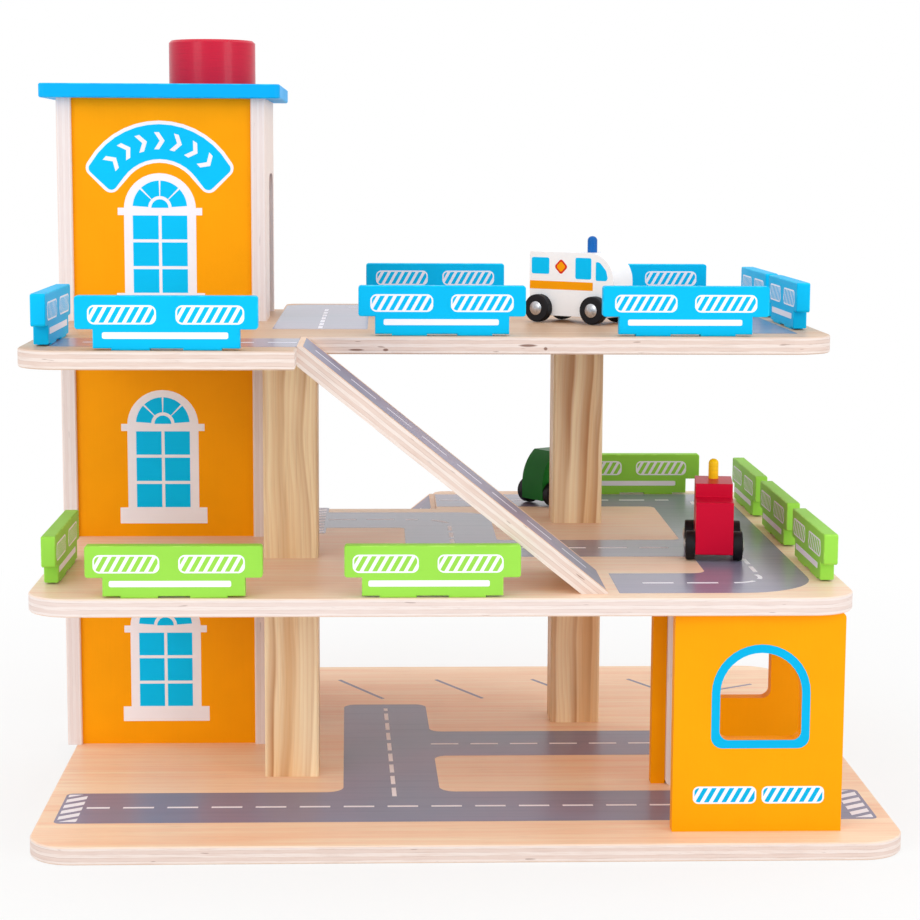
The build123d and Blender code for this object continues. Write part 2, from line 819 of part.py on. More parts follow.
build_beacon("truck_beacon", truck_seat, truck_beacon_height)

car_side = vehicle_side(car_x, car_y, middle_top, car_heading)
car_back = -car_wheelbase / 2 - car_tail
car_front = car_wheelbase / 2 + car_nose
with BuildPart() as car_body:
    with BuildSketch(car_side):
        with BuildLine():
            Polyline(
                (-car_roof_rear, car_height),
                (car_roof_front - car_nose, car_height),
            )
            TangentArc(
                (car_roof_front - car_nose, car_height),
                (car_front, car_bonnet_height),
                tangent=(1, 0),
            )
            Polyline(
                (car_front, car_bonnet_height),
                (car_front, belly_height),
                (car_back, belly_height),
                (car_back, car_waist),
            )
            TangentArc((car_back, car_waist), (-car_roof_rear, car_height), tangent=(0, 1))
        make_face()
        cut_axle_bores(car_wheelbase)
    extrude(amount=car_width / 2, both=True)
save(car_body, "car_body")
build_gear("car", car_side, car_wheelbase, car_width)

# Fixings --------------------------------------------------------------------------------

with BuildPart() as dowels:
    for level in (middle_bottom, top_bottom):
        with BuildSketch(Plane.XY.offset(level - dowel_depth)):
            with Locations(*panel_spots):
                Circle(dowel_radius)
        extrude(amount=board + 2 * dowel_depth)
    with BuildSketch(Plane.XY.offset(roof_bottom - dowel_depth)):
        with Locations(*panel_spots):
            Circle(dowel_radius)
    extrude(amount=dowel_depth + roof_bite)
    with BuildSketch(Plane.XY.offset(middle_bottom - dowel_depth)):
        with Locations(*booth_spots):
            Circle(dowel_radius)
    extrude(amount=dowel_depth + blind_depth)
    with BuildSketch(Plane.XY.offset(middle_bottom - peg_depth)):
        with Locations(*post_spots):
            Circle(peg_radius)
    extrude(amount=board + 2 * peg_depth)
    with BuildSketch(Plane.XY.offset(top_bottom - peg_depth)):
        with Locations(*post_spots):
            Circle(peg_radius)
    extrude(amount=peg_depth + blind_depth)
save(dowels, "dowels")

with BuildPart() as screws:
    for x, y in post_spots + panel_spots + booth_spots:
        with BuildSketch(facing_front(x, y, screw_sink)):
            with BuildLine():
                Polyline(
                    (0, 0),
                    (screw_head, 0),
                    (screw_radius, screw_head_height),
                    (screw_radius, board - screw_sink + screw_bite),
                    (0, board - screw_sink + screw_bite),
                    close=True,
                )
            make_face()
        revolve(axis=Axis((x, y, 0), (0, 0, 1)))
save(screws, "screws")
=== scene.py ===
import json
from collections import namedtuple
from math import atan2, ceil, cos, hypot, pi, radians, sin, tan

import bmesh
import bpy
from bpy.props import FloatProperty, FloatVectorProperty, IntProperty, PointerProperty
from mathutils import Matrix, Vector


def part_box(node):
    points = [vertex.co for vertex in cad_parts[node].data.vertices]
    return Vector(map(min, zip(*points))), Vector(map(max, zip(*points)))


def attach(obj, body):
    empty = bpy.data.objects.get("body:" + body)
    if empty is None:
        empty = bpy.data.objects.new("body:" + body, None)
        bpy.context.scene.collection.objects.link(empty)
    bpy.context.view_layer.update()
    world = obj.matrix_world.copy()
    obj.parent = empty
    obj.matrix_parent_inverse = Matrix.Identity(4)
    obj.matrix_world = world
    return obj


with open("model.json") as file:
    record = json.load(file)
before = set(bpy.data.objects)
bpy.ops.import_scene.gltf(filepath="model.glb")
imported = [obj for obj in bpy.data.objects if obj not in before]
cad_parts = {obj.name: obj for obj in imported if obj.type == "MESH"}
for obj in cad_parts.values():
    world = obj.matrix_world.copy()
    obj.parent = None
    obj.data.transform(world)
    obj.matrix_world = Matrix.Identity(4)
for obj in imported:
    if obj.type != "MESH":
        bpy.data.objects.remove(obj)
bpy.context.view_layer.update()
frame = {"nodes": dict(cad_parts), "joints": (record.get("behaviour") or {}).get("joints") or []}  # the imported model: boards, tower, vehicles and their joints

bl_info = {
    "name": "Toy parking garage",
    "version": (1, 0, 0),
    "blender": (4, 5, 0),
    "location": "View3D > Sidebar > Garage",
    "description": "Dresses a wooden toy parking garage with timber, paint and printed roads",
    "category": "Object",
}

MM = 0.001
NODES = frame["nodes"]
JOINTS = {joint["name"]: joint for joint in frame["joints"]}
INK = 0.07  # millimetres that one printed layer stands above its board
BOARD = 10.0  # thickness of the ramps' plywood in millimetres
ARC_STEP = radians(9)  # widest angle between two points of an arc
LEAST_SPAN = 1e-3  # millimetres between two points of an outline
LEAST_UPWARD = 0.3  # upward part of a normal, from which a surface can be driven on

X, Y, Z = Vector((1, 0, 0)), Vector((0, 1, 0)), Vector((0, 0, 1))
BASE_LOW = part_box("base_board")[0]


# Surfaces that prints lie on ------------------------------------------------------------

Face = namedtuple("Face", "origin across up out")


def point_on(face, u, v, height=0.0):
    """Point on a face, from millimetres across, up and out of it."""
    return face.origin + (face.across * u + face.up * v + face.out * height) * MM


def deck_face(node):
    """Top of a deck, measured from the base board's left and front edges."""
    return Face(Vector((BASE_LOW.x, BASE_LOW.y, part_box(node)[1].z)), X, Y, Z)


def front_face(node):
    """Front of an upright piece, measured from its lower left corner."""
    return Face(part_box(node)[0].copy(), X, Z, -Y)


def slope_face(node, way):
    """Driving surface of a ramp that falls to the right (way 1) or to the left (way -1),
    measured down from its head, with its length and width in millimetres."""
    ramp = NODES[node]
    largest = max(ramp.data.polygons, key=lambda p: p.area if p.normal.z > LEAST_UPWARD else 0.0)
    corners = [ramp.matrix_world @ ramp.data.vertices[i].co for i in largest.vertices]
    head = max(corners, key=lambda corner: corner.z)
    foot = min(corners, key=lambda corner: corner.z)
    low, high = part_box(node)
    head.y = foot.y = low.y
    down = (foot - head).normalized()
    out = Vector((-down.z * way, 0, down.x * way))
    return Face(head, down, Y, out), (foot - head).length / MM, (high.y - low.y) / MM


# Outlines, in millimetres ---------------------------------------------------------------


def arc(centre, radius, start, end):
    """Points along an arc, angles in radians."""
    steps = max(2, ceil(abs(end - start) / ARC_STEP))
    turn = (end - start) / steps
    return [
        (centre[0] + radius * cos(start + turn * i), centre[1] + radius * sin(start + turn * i))
        for i in range(steps + 1)
    ]


def rounded(corners):
    """Closed outline through corners (x, y, radius), each rounded by a tangent arc."""
    outline = []
    for i, (x, y, radius) in enumerate(corners):
        before = Vector(corners[i - 1][:2]) - Vector((x, y))
        after = Vector(corners[(i + 1) % len(corners)][:2]) - Vector((x, y))
        if radius == 0:
            outline.append((x, y))
            continue
        before.normalize()
        after.normalize()
        half = before.angle(after) / 2
        middle = (before + after).normalized()
        centre = Vector((x, y)) + middle * (radius / sin(half))
        start = Vector((x, y)) + before * (radius / tan(half)) - centre
        end = Vector((x, y)) + after * (radius / tan(half)) - centre
        first = atan2(start.y, start.x)
        sweep = (atan2(end.y, end.x) - first + pi) % (2 * pi) - pi
        outline += arc(centre, radius, first, first + sweep)
    return outline


def box_outline(x0, y0, x1, y1, radius=0.0):
    """Rectangle with rounded corners."""
    return rounded([(x0, y0, radius), (x1, y0, radius), (x1, y1, radius), (x0, y1, radius)])


def bar(start, end, width):
    """Straight bar between two points."""
    along = (Vector(end) - Vector(start)).normalized()
    side = Vector((-along.y, along.x)) * (width / 2)
    a, b = Vector(start), Vector(end)
    return [tuple(a - side), tuple(b - side), tuple(b + side), tuple(a + side)]


def band(centre, inner, outer, start, end):
    """Part of a ring between two angles."""
    return arc(centre, outer, start, end) + arc(centre, inner, end, start)


def clipped(outline, window):
    """The part of a convex outline inside a convex, anticlockwise window."""
    for i, corner in enumerate(window):
        ahead = window[(i + 1) % len(window)]
        edge = Vector(ahead) - Vector(corner)

        def inside(p):
            """How far a point lies inside this edge, times the edge's length."""
            return edge.x * (p[1] - corner[1]) - edge.y * (p[0] - corner[0])

        kept = []
        for j, p in enumerate(outline):
            q = outline[(j + 1) % len(outline)]
            here, there = inside(p), inside(q)
            if here >= 0:
                kept.append(p)
            if (here > 0 > there) or (here < 0 < there):
                share = here / (here - there)
                kept.append((p[0] + (q[0] - p[0]) * share, p[1] + (q[1] - p[1]) * share))
        outline = kept
        if len(outline) < 3:
            return []
    return outline


def stripes(x0, y0, x1, y1, pitch, width, lean, radius):
    """Slanted stripes inside a rounded rectangle; lean is how far their tops shift right."""
    window = box_outline(x0, y0, x1, y1, radius)
    shapes = []
    x = x0 - lean
    while x < x1:
        slash = [(x, y0), (x + width, y0), (x + width + lean, y1), (x + lean, y1)]
        shapes.append(clipped(slash, window))
        x += pitch
    return [shape for shape in shapes if shape]


def without_repeats(outline):
    """Outline without points that lie on the point before them."""
    return [
        p for p, before in zip(outline, outline[-1:] + outline[:-1])
        if hypot(p[0] - before[0], p[1] - before[1]) > LEAST_SPAN
    ]


# Thin printed shapes --------------------------------------------------------------------


class Print:
    """Thin shapes of one ink, gathered into one mesh that rides on one body."""

    def __init__(self, name, material, slot, body="garage"):
        self.name = name
        self.material = material
        self.slot = slot
        self.body = body
        self.mesh = bmesh.new()

    def lay(self, face, outlines, layer=1):
        """Lay outlines on a face; a higher layer covers a lower one."""
        for outline in map(without_repeats, outlines):
            lower = [self.mesh.verts.new(point_on(face, u, v, 0)) for u, v in outline]
            upper = [self.mesh.verts.new(point_on(face, u, v, INK * layer)) for u, v in outline]
            self.mesh.faces.new(upper)
            self.mesh.faces.new(lower[::-1])
            for i in range(len(outline)):
                j = (i + 1) % len(outline)
                self.mesh.faces.new((lower[i], lower[j], upper[j], upper[i]))
        return self

    def fix(self):
        """Make the mesh and hand it to the body."""
        bmesh.ops.recalc_face_normals(self.mesh, faces=self.mesh.faces)
        place(self.name, self.mesh, self.material, self.slot, self.body)


def mesh_object(name, shape, material):
    """Turn a bmesh into an object with a material."""
    data = bpy.data.meshes.new(name)
    shape.to_mesh(data)
    shape.free()
    data.materials.append(material)
    made = bpy.data.objects.new(name, data)
    bpy.context.scene.collection.objects.link(made)
    return made


def place(name, shape, material, slot, body):
    """Make a bmesh into a piece that rides on a body."""
    piece = mesh_object(name, shape, material)
    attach(piece, body)


# Finishes -------------------------------------------------------------------------------


class Value:
    """A number that varies over a surface; arithmetic on it adds Math nodes."""

    def __init__(self, finish, socket):
        self.finish = finish
        self.socket = socket

    def math(self, operation, *others):
        return self.finish.node(
            "ShaderNodeMath", {"operation": operation}, dict(enumerate(others))
        )

    def __add__(self, other):
        return self.math("ADD", self, other)

    __radd__ = __add__

    def __sub__(self, other):
        return self.math("SUBTRACT", self, other)

    def __rsub__(self, other):
        return self.math("SUBTRACT", other, self)

    def __mul__(self, other):
        return self.math("MULTIPLY", self, other)

    __rmul__ = __mul__

    def __truediv__(self, other):
        return self.math("DIVIDE", self, other)

    def __rtruediv__(self, other):
        return self.math("DIVIDE", other, self)

    def __gt__(self, other):
        return self.math("GREATER_THAN", self, other)

    def __lt__(self, other):
        return self.math("LESS_THAN", self, other)

    def size(self):
        return self.math("ABSOLUTE", self)

    def part(self):
        return self.math("FRACT", self)

    def most(self, other):
        return self.math("MAXIMUM", self, other)

    def ramp(self, low, high):
        """0 below low, 1 above high."""
        return self.finish.node(
            "ShaderNodeMapRange", {"clamp": True}, {0: self, 1: low, 2: high, 3: 0.0, 4: 1.0}
        )


class Finish:
    """Node tree of one surface finish, or of the world."""

    def __init__(self, name, kind="materials"):
        self.owner = getattr(bpy.data, kind).new(name)
        self.owner.use_nodes = True
        self.tree = self.owner.node_tree
        self.tree.nodes.clear()

    def node(self, kind, settings, sockets, output=0):
        """Any node: its type, its settings, then the values or links of its sockets."""
        made = self.tree.nodes.new(kind)
        for key, value in settings.items():
            setattr(made, key, value)
        for key, value in sockets.items():
            if isinstance(value, Value):
                self.tree.links.new(value.socket, made.inputs[key])
            else:
                made.inputs[key].default_value = value
        if len(made.outputs):
            return Value(self, made.outputs[output])

    def vector(self, operation, *others, output="Vector"):
        """Vector Math on vectors."""
        return self.node(
            "ShaderNodeVectorMath", {"operation": operation}, dict(enumerate(others)), output
        )

    def place(self):
        """Position on the piece, in metres."""
        return self.node("ShaderNodeTexCoord", {}, {}, "Object")

    def facing(self):
        """Direction that the piece's surface faces."""
        return self.node("ShaderNodeTexCoord", {}, {}, "Normal")

    def along(self, vector, direction):
        """Length of a vector along a direction."""
        return self.vector("DOT_PRODUCT", vector, tuple(direction), output="Value")

    def in_view(self):
        """1 for what the camera or a reflection shows, 0 for light on the garage."""
        seen = self.node("ShaderNodeLightPath", {}, {}, "Is Camera Ray")
        mirrored = self.node("ShaderNodeLightPath", {}, {}, "Is Glossy Ray")
        return seen.most(mirrored)

    def framed(self, out, grain):
        """Position in a board's own directions: out of its face, along its grain, across it."""
        place = self.place()
        return self.node(
            "ShaderNodeCombineXYZ",
            {},
            {
                "X": self.along(place, out),
                "Y": self.along(place, grain),
                "Z": self.along(place, out.cross(grain)),
            },
        )

    def noise(self, scales, detail=2.0, rough=0.5, at=None):
        """Noise with a scale for each direction, so that a grain can run along one."""
        stretched = self.vector("MULTIPLY", at or self.place(), scales)
        return self.node(
            "ShaderNodeTexNoise",
            {},
            {"Vector": stretched, "Scale": 1.0, "Detail": detail, "Roughness": rough},
            "Fac",
        )

    def mix(self, share, first, second):
        """Colour between two colours."""
        return self.node(
            "ShaderNodeMix", {"data_type": "RGBA"}, {0: share, 6: first, 7: second}, 2
        )

    def relief(self, height, distance):
        """Normal of a surface with fine relief, in metres."""
        return self.node(
            "ShaderNodeBump", {}, {"Height": height, "Distance": distance, "Strength": 1.0}, "Normal"
        )

    def coat(self, colour, roughness, normal, constants=()):
        """Finish the tree with one surface shader."""
        sockets = {"Base Color": colour, "Roughness": roughness, "Normal": normal}
        sockets.update(constants)
        return self.close(self.node("ShaderNodeBsdfPrincipled", {}, sockets, "BSDF"))

    def close(self, surface, output="ShaderNodeOutputMaterial"):
        """Send a surface to the tree's output."""
        self.node(output, {}, {"Surface": surface})
        return self.owner


def linear(colour):
    """Screen colour to a shader colour."""
    spread = [c / 12.92 if c <= 0.04045 else ((c + 0.055) / 1.055) ** 2.4 for c in colour]
    return (*spread, 1.0)


def shade(colour, share):
    """A colour made darker or lighter by a share."""
    return tuple(min(1.0, c * share) for c in colour)


def axis_scales(fine, coarse, grain):
    """Scales that stretch a pattern along the grain."""
    return tuple(coarse if abs(part) > 0.5 else fine for part in grain)


def plywood(name, out, start, thickness, grain, timber, pale=0.0, tone=1.0, knots=()):
    """Lacquered plywood: veneer on its faces and glued plies on its edges. The paleness share
    mixes in the tower walls' whiter wood: on the tower walls that is their own colour, on the
    base board and middle deck it is painted light for the shade under the decks. The painted
    light factor scales the veneer: above 1 it is painted light on shaded boards, below 1 it is
    painted shade on the brightly lit top deck. Knots are dark ovals in its front and rear
    edges: place across, place up, half length and half height in metres."""
    finish = Finish(name)
    at = finish.framed(out, grain)
    on_face = finish.along(finish.facing(), out).size().ramp(0.55, 0.85)
    streak = finish.noise((230.0, 7.0, 230.0), 4.0, 0.6, at)
    cloud = finish.noise((30.0, 5.0, 30.0), 2.0, 0.5, at)
    pore = finish.noise((1500.0, 45.0, 1500.0), 2.0, 0.5, at).ramp(0.60, 0.72)
    # The veneer's colours are scaled by painted light: lighter on boards in shade, darker (painted
    # shade) on the brightly lit top deck.
    veneer = finish.mix(
        (streak * 0.9 + cloud * 0.5).ramp(0.48, 0.92),
        linear(shade(timber.veneer, tone)),
        linear(shade(timber.veneer_dark, tone)),
    )
    veneer = finish.mix(pore * 0.25, veneer, linear(timber.pore))
    layer = (finish.along(finish.place(), out) - start) / thickness * timber.plies
    crosswise = (layer * 0.5).part() > 0.5
    fibre = finish.noise((1500.0, 60.0, 60.0), 3.0, 0.65, at)
    patch = finish.noise((260.0, 45.0, 45.0), 2.0, 0.5, at)
    glue = ((layer.part() - 0.5).size() > 0.44) * patch.ramp(0.40, 0.62)
    fleck = finish.noise((700.0, 75.0, 75.0), 1.0, 0.4, at).ramp(0.74, 0.78)
    edge = finish.mix(crosswise * 0.5, linear(timber.ply_light), linear(timber.ply_dark))
    edge = finish.mix(fibre.ramp(0.48, 0.72) * 0.6, edge, linear(timber.ply_dark))
    edge = finish.mix(glue * 0.6, edge, linear(timber.glue))
    edge = finish.mix(fleck * 0.6, edge, linear(timber.knot))
    for across, up, length, height in knots:
        offset = finish.vector("SUBTRACT", finish.place(), (across, 0, up))
        oval = finish.vector("MULTIPLY", offset, (1 / length, 0, 1 / height))
        reach = finish.vector("LENGTH", oval, output="Value")
        edge = finish.mix((1 - reach.ramp(0.7, 1.15)) * 0.85, edge, linear(timber.knot))
    # Mixing in the walls' whiter wood is the tower walls' own colour, and painted light on the shaded
    # base board and middle deck.
    colour = finish.mix(pale, finish.mix(on_face, edge, veneer), linear(timber.wall))
    height = (streak + pore * -0.6) * on_face + (fibre - glue * 0.5) * (1 - on_face)
    roughness = 0.46 + cloud * 0.12 - on_face * 0.14
    return finish.coat(colour, roughness, finish.relief(height, 0.00005), {"Specular IOR Level": 0.14})


def pine(name, timber):
    """Lacquered pine: cream wood with wandering amber streaks and fine year rings."""
    finish = Finish(name)
    sway = finish.noise((13.0, 13.0, 3.2), 3.0, 0.55)
    across = finish.along(finish.place(), (1.0, 0.62, 0.0)) + sway * 0.034
    streaks = (across * 88.0 + finish.noise((50.0, 50.0, 1.0), 1.0, 0.5) * 1.4).part()
    late = streaks.ramp(0.25, 0.88) * (1 - streaks.ramp(0.90, 1.0))
    strength = finish.noise((45.0, 45.0, 4.0), 2.0, 0.55).ramp(0.36, 0.62)
    rings = (across * 330.0).part()
    fine = rings.ramp(0.3, 0.8) * (1 - rings.ramp(0.85, 1.0))
    bands = finish.noise((55.0, 55.0, 1.6), 2.0, 0.55).ramp(0.42, 0.64)
    fibre = finish.noise((1300.0, 1300.0, 22.0), 3.0, 0.6)
    colour = finish.mix(bands * 0.7, linear(timber.pine), linear(timber.pine_ring))
    colour = finish.mix(fine * 0.22, colour, linear(timber.pine_ring))
    colour = finish.mix(late * (0.2 + strength * 0.6), colour, linear(timber.pine_late))
    colour = finish.mix(fibre.ramp(0.52, 0.8) * 0.3, colour, linear(timber.pore))
    roughness = 0.42 + late * 0.10
    return finish.coat(
        colour, roughness, finish.relief(fibre + late * 0.8, 0.00005), {"Specular IOR Level": 0.35}
    )


RUBBED = 0.2  # what a rubbed edge adds to each channel of its paint


def paint(name, colour, grain, rough, wear=0.35):
    """Satin or gloss paint on wood, with the grain just showing and rubbed edges. Wear is
    the share of bare, lighter colour where they are rubbed most."""
    finish = Finish(name)
    fibre = finish.noise(axis_scales(900.0, 30.0, grain), 3.0, 0.6)
    cloud = finish.noise((28.0, 28.0, 28.0), 2.0, 0.5)
    body = finish.mix(cloud.ramp(0.35, 0.75) * 0.5, linear(colour), linear(shade(colour, 0.94)))
    body = finish.mix(fibre.ramp(0.50, 0.85) * 0.10, body, linear(shade(colour, 0.88)))
    direction = finish.facing()
    sides = [finish.along(direction, axis).size() for axis in (X, Y, Z)]
    squareness = sides[0].most(sides[1]).most(sides[2])
    rubbed = (1 - squareness.ramp(0.72, 0.95)) * finish.noise((160.0, 160.0, 160.0)).ramp(0.46, 0.62)
    body = finish.mix(rubbed * wear, body, linear([min(1.0, c + RUBBED) for c in colour]))
    roughness = rough + cloud * 0.12 + fibre * 0.05
    return finish.coat(
        body, roughness, finish.relief(fibre + cloud * 0.6, 0.00003), {"Specular IOR Level": 0.09}
    )


def ink(name, colour, fade, rough=0.42):
    """Printed ink: nearly even, mottled by a share of fading, with the board's grain."""
    finish = Finish(name)
    fibre = finish.noise((26.0, 700.0, 700.0), 3.0, 0.6)
    cloud = finish.noise((22.0, 22.0, 22.0), 3.0, 0.55)
    body = finish.mix(cloud.ramp(0.35, 0.72) * fade, linear(colour), linear(shade(colour, 0.88)))
    body = finish.mix(fibre.ramp(0.52, 0.8) * fade * 0.6, body, linear(shade(colour, 1.08)))
    return finish.coat(
        body, rough + cloud * 0.10, finish.relief(fibre, 0.00002), {"Specular IOR Level": 0.09}
    )


def road_grey(name, colour, tint, lacquer):
    """Road ink under a share of lacquer: grey that shifts to violet, with the veneer's grain."""
    finish = Finish(name)
    fibre = finish.noise((8.0, 240.0, 240.0), 4.0, 0.6)
    cloud = finish.noise((9.0, 9.0, 9.0), 2.0, 0.5)
    body = finish.mix(cloud.ramp(0.36, 0.68), linear(colour), linear(tint))
    body = finish.mix(fibre.ramp(0.50, 0.78) * 0.4, body, linear(shade(colour, 0.84)))
    constants = {"Specular IOR Level": 0.12, "Coat Weight": lacquer, "Coat Roughness": 0.2}
    return finish.coat(body, 0.30 + fibre * 0.10, finish.relief(fibre, 0.00003), constants)


def turned(name, colour, rough, lacquer=0.0):
    """Paint on a turned piece, with faint rings from the lathe and a share of lacquer."""
    finish = Finish(name)
    rings = finish.noise((90.0, 90.0, 2600.0), 2.0, 0.5)
    cloud = finish.noise((40.0, 40.0, 40.0), 2.0, 0.5)
    body = finish.mix(rings.ramp(0.45, 0.75) * 0.35, linear(colour), linear(shade(colour, 0.80)))
    constants = {"Specular IOR Level": 0.22, "Coat Weight": lacquer, "Coat Roughness": 0.1}
    return finish.coat(body, rough + cloud * 0.14, finish.relief(rings, 0.00004), constants)


def steel(name, colour):
    """Bare steel with fine scratches."""
    finish = Finish(name)
    scratch = finish.noise((2400.0, 2400.0, 300.0), 2.0, 0.5)
    body = finish.mix(scratch.ramp(0.4, 0.7), linear(colour), linear(shade(colour, 0.82)))
    return finish.coat(body, 0.26 + scratch * 0.16, finish.relief(scratch, 0.00001), {"Metallic": 1.0})


# What a user can change -----------------------------------------------------------------


def colour_of(name, description, red, green, blue):
    """A screen colour property, from 0 to 255."""
    return FloatVectorProperty(
        name=name,
        description=description,
        subtype="COLOR_GAMMA",
        min=0.0,
        max=1.0,
        default=(red / 255, green / 255, blue / 255),
    )


class GarageTimber(bpy.types.PropertyGroup):
    """Woods of the boards and posts."""

    veneer: colour_of("Veneer", "Face of the plywood", 250, 216, 184)
    veneer_dark: colour_of("Veneer grain", "Darker grain of the plywood's face", 234, 186, 148)
    pore: colour_of("Pores", "Fine dark pores of the wood", 176, 130, 92)
    ply_light: colour_of("Light plies", "Plies that run along the edge", 234, 220, 212)
    ply_dark: colour_of("Dark plies", "Plies that show their end grain", 214, 186, 172)
    glue: colour_of("Glue lines", "Lines between the plies", 186, 158, 146)
    knot: colour_of("Knots", "Small dark knots in the plies", 120, 82, 66)
    pine: colour_of("Pine", "Pale wood of the posts", 255, 234, 196)
    pine_ring: colour_of("Pine bands", "Warmer bands of the posts", 226, 176, 116)
    pine_late: colour_of("Pine rings", "Dark edge of each year ring", 178, 112, 58)
    wall: colour_of("Tower wall wood", "Pale wood of the tower's walls", 242, 235, 238)
    beech: colour_of("Beech", "Turned dowels and the winding spindle", 214, 172, 128)
    plies: IntProperty(name="Plies", description="Layers in one board", default=5, min=3, max=13)


class GaragePaint(bpy.types.PropertyGroup):
    """Paints and printing inks."""

    orange: colour_of("Orange", "Tower and booth panels", 255, 166, 0)
    blue: colour_of("Blue", "Upper barriers", 0, 192, 246)
    roof: colour_of("Roof blue", "Roof of the tower", 0, 176, 250)
    green: colour_of("Green", "Lower barriers", 156, 222, 80)
    crimson: colour_of("Crimson", "Winding knob and truck", 210, 10, 52)
    white: colour_of("White", "Ambulance", 253, 253, 255)
    yellow: colour_of("Yellow", "Truck's light", 255, 206, 8)
    dark_green: colour_of("Dark green", "Car behind the post", 28, 112, 40)
    black: colour_of("Black", "Wheels", 24, 23, 28)
    print_white: colour_of("White ink", "Window frames and road lines", 249, 247, 255)
    print_blue: colour_of("Blue ink", "Window panes and the booth's arch", 0, 198, 255)
    road: colour_of("Road grey", "Printed roads", 132, 136, 162)
    road_tint: colour_of("Road violet", "Cloudy shade in the roads", 146, 132, 158)
    steel: colour_of("Steel", "Axle heads, screws and eyes", 206, 206, 210)


class GarageStage(bpy.types.PropertyGroup):
    """Lamps, floor and camera."""

    key: FloatProperty(
        name="Key lamp", description="Power of each front lamp", default=9.2, unit="POWER"
    )
    top: FloatProperty(
        name="Top lamp", description="Power of the lamp overhead", default=3.0, unit="POWER"
    )
    fill: FloatProperty(name="Sky light", description="Strength of the even light", default=1.0)
    floor_show: FloatProperty(
        name="Floor shadow",
        description="Share of the floor's own light and shade that shows",
        default=0.30,
    )
    focal: FloatProperty(
        name="Focal length", description="Camera lens", default=86.08, unit="CAMERA"
    )


def timber():
    return bpy.context.scene.garage_timber


def paints():
    return bpy.context.scene.garage_paint


def dress(node, material):
    """Give a CAD piece its finish."""
    NODES[node].data.materials.clear()
    NODES[node].data.materials.append(material)


# Timber ---------------------------------------------------------------------------------

STOREYS = ("ground", "middle", "top")
WALL_PALENESS = 0.55
LIFT_WALL = 6.0  # thickness of the lift car's walls in millimetres
RAMPS = (("front_ramp", 1), ("rear_ramp", -1))  # 1 falls to the right, -1 to the left

# Dark knots in the top deck's front and rear edges: across, up, half length and half height,
# in metres
TOP_KNOTS = (
    (0.0352, 0.2729, 0.0052, 0.0008),
    (0.0452, 0.2711, 0.0011, 0.0010),
    (-0.0620, 0.2703, 0.0044, 0.0006),
    (-0.0454, 0.2703, 0.0016, 0.0008),
)


class GARAGE_OT_boards(bpy.types.Operator):
    """Plywood of the decks, ramps, tower walls, booth upright and lift car"""

    bl_idname = "garage.boards"
    bl_label = "Plywood boards"

    def execute(self, context):
        # The base board and middle deck get whiter, lighter veneer as painted light for the shade under
        # the decks; the top deck's darker veneer is painted shade for its bright light.
        self.dress_board("base_board", Z, X, pale=0.08, tone=1.06)
        self.dress_board("middle_deck", Z, X, pale=0.22, tone=1.07)
        self.dress_board("top_deck", Z, X, tone=0.87, knots=TOP_KNOTS)
        self.dress_board("lift_floor", Z, X)
        self.dress_board("lift_roof", Z, X)
        for storey in STOREYS:
            for side in ("left", "right"):
                self.dress_board(f"{storey}_{side}_wall", X, Z, pale=WALL_PALENESS)
        self.dress_board("booth_rib", X, Z, pale=WALL_PALENESS)
        dress("lift_sides", plywood("plywood_lift_sides", Y, 0.0, LIFT_WALL * MM, Z, timber()))
        for node, way in RAMPS:
            face, _, _ = slope_face(node, way)
            start = face.origin.dot(face.out) - BOARD * MM
            dress(node, plywood(f"plywood_{node}", face.out, start, BOARD * MM, face.across, timber()))
        return {"FINISHED"}

    def dress_board(self, node, out, grain, **wood):
        """Plywood on a flat board that faces out, with its grain along one direction."""
        low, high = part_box(node)
        thickness = (high - low).dot(out)
        dress(node, plywood(f"plywood_{node}", out, low.dot(out), thickness, grain, timber(), **wood))


class GARAGE_OT_posts(bpy.types.Operator):
    """Pine of the posts and beech of the hidden turned pieces"""

    bl_idname = "garage.posts"
    bl_label = "Pine posts"

    def execute(self, context):
        wood = pine("pine_posts", timber())
        for level in ("lower", "upper"):
            for spot in ("front", "right"):
                dress(f"post_{level}_{spot}", wood)
        beech = turned("beech_turned", timber().beech, 0.5)
        dress("dowels", beech)
        dress("spindle", beech)
        return {"FINISHED"}


# Paint ----------------------------------------------------------------------------------

BLUE_BARRIERS = (
    "blue_barrier_left",
    "blue_barrier_front_1",
    "blue_barrier_front_2",
    "blue_barrier_front_3",
    "blue_barriers_rear",
    "blue_barrier_right_1",
    "blue_barrier_right_2",
)
GREEN_BARRIERS = (
    "green_barrier_left",
    "green_barrier_front_1",
    "green_barrier_front_2",
    "green_barrier_rear",
    "green_barriers_right",
)
ALONG_Y = ("left", "right")  # sides whose barriers run along Y
BEACON_BLUE = (0.0, 0.38, 0.70)


class GARAGE_OT_paintwork(bpy.types.Operator):
    """Painted tower panels, booth, roof, knob and barriers"""

    bl_idname = "garage.paintwork"
    bl_label = "Paintwork"

    def execute(self, context):
        colours = paints()
        orange = paint("orange_paint", colours.orange, Z, 0.40, wear=0.2)
        for storey in STOREYS:
            for side in ("front", "rear"):
                dress(f"{storey}_{side}_panel", orange)
        dress("booth_front_panel", orange)
        dress("booth_rear_panel", orange)
        dress("roof_board", paint("roof_blue", colours.roof, X, 0.34))
        dress("knob", turned("knob_crimson", colours.crimson, 0.26, lacquer=0.15))
        for nodes, name in ((BLUE_BARRIERS, "blue"), (GREEN_BARRIERS, "green")):
            colour = getattr(colours, name)
            lengthways = paint(f"{name}_barrier_x", colour, X, 0.38)
            crossways = paint(f"{name}_barrier_y", colour, Y, 0.38)
            for node in nodes:
                dress(node, crossways if any(side in node for side in ALONG_Y) else lengthways)
        return {"FINISHED"}


class GARAGE_OT_hardware(bpy.types.Operator):
    """Bare steel of the screws, cord eyes and axles"""

    bl_idname = "garage.hardware"
    bl_label = "Steel fittings"

    def execute(self, context):
        metal = steel("bare_steel", paints().steel)
        for node in ("screws", "lift_eye", "cord_guide", "ambulance_axles", "truck_axles", "car_axles"):
            dress(node, metal)
        return {"FINISHED"}


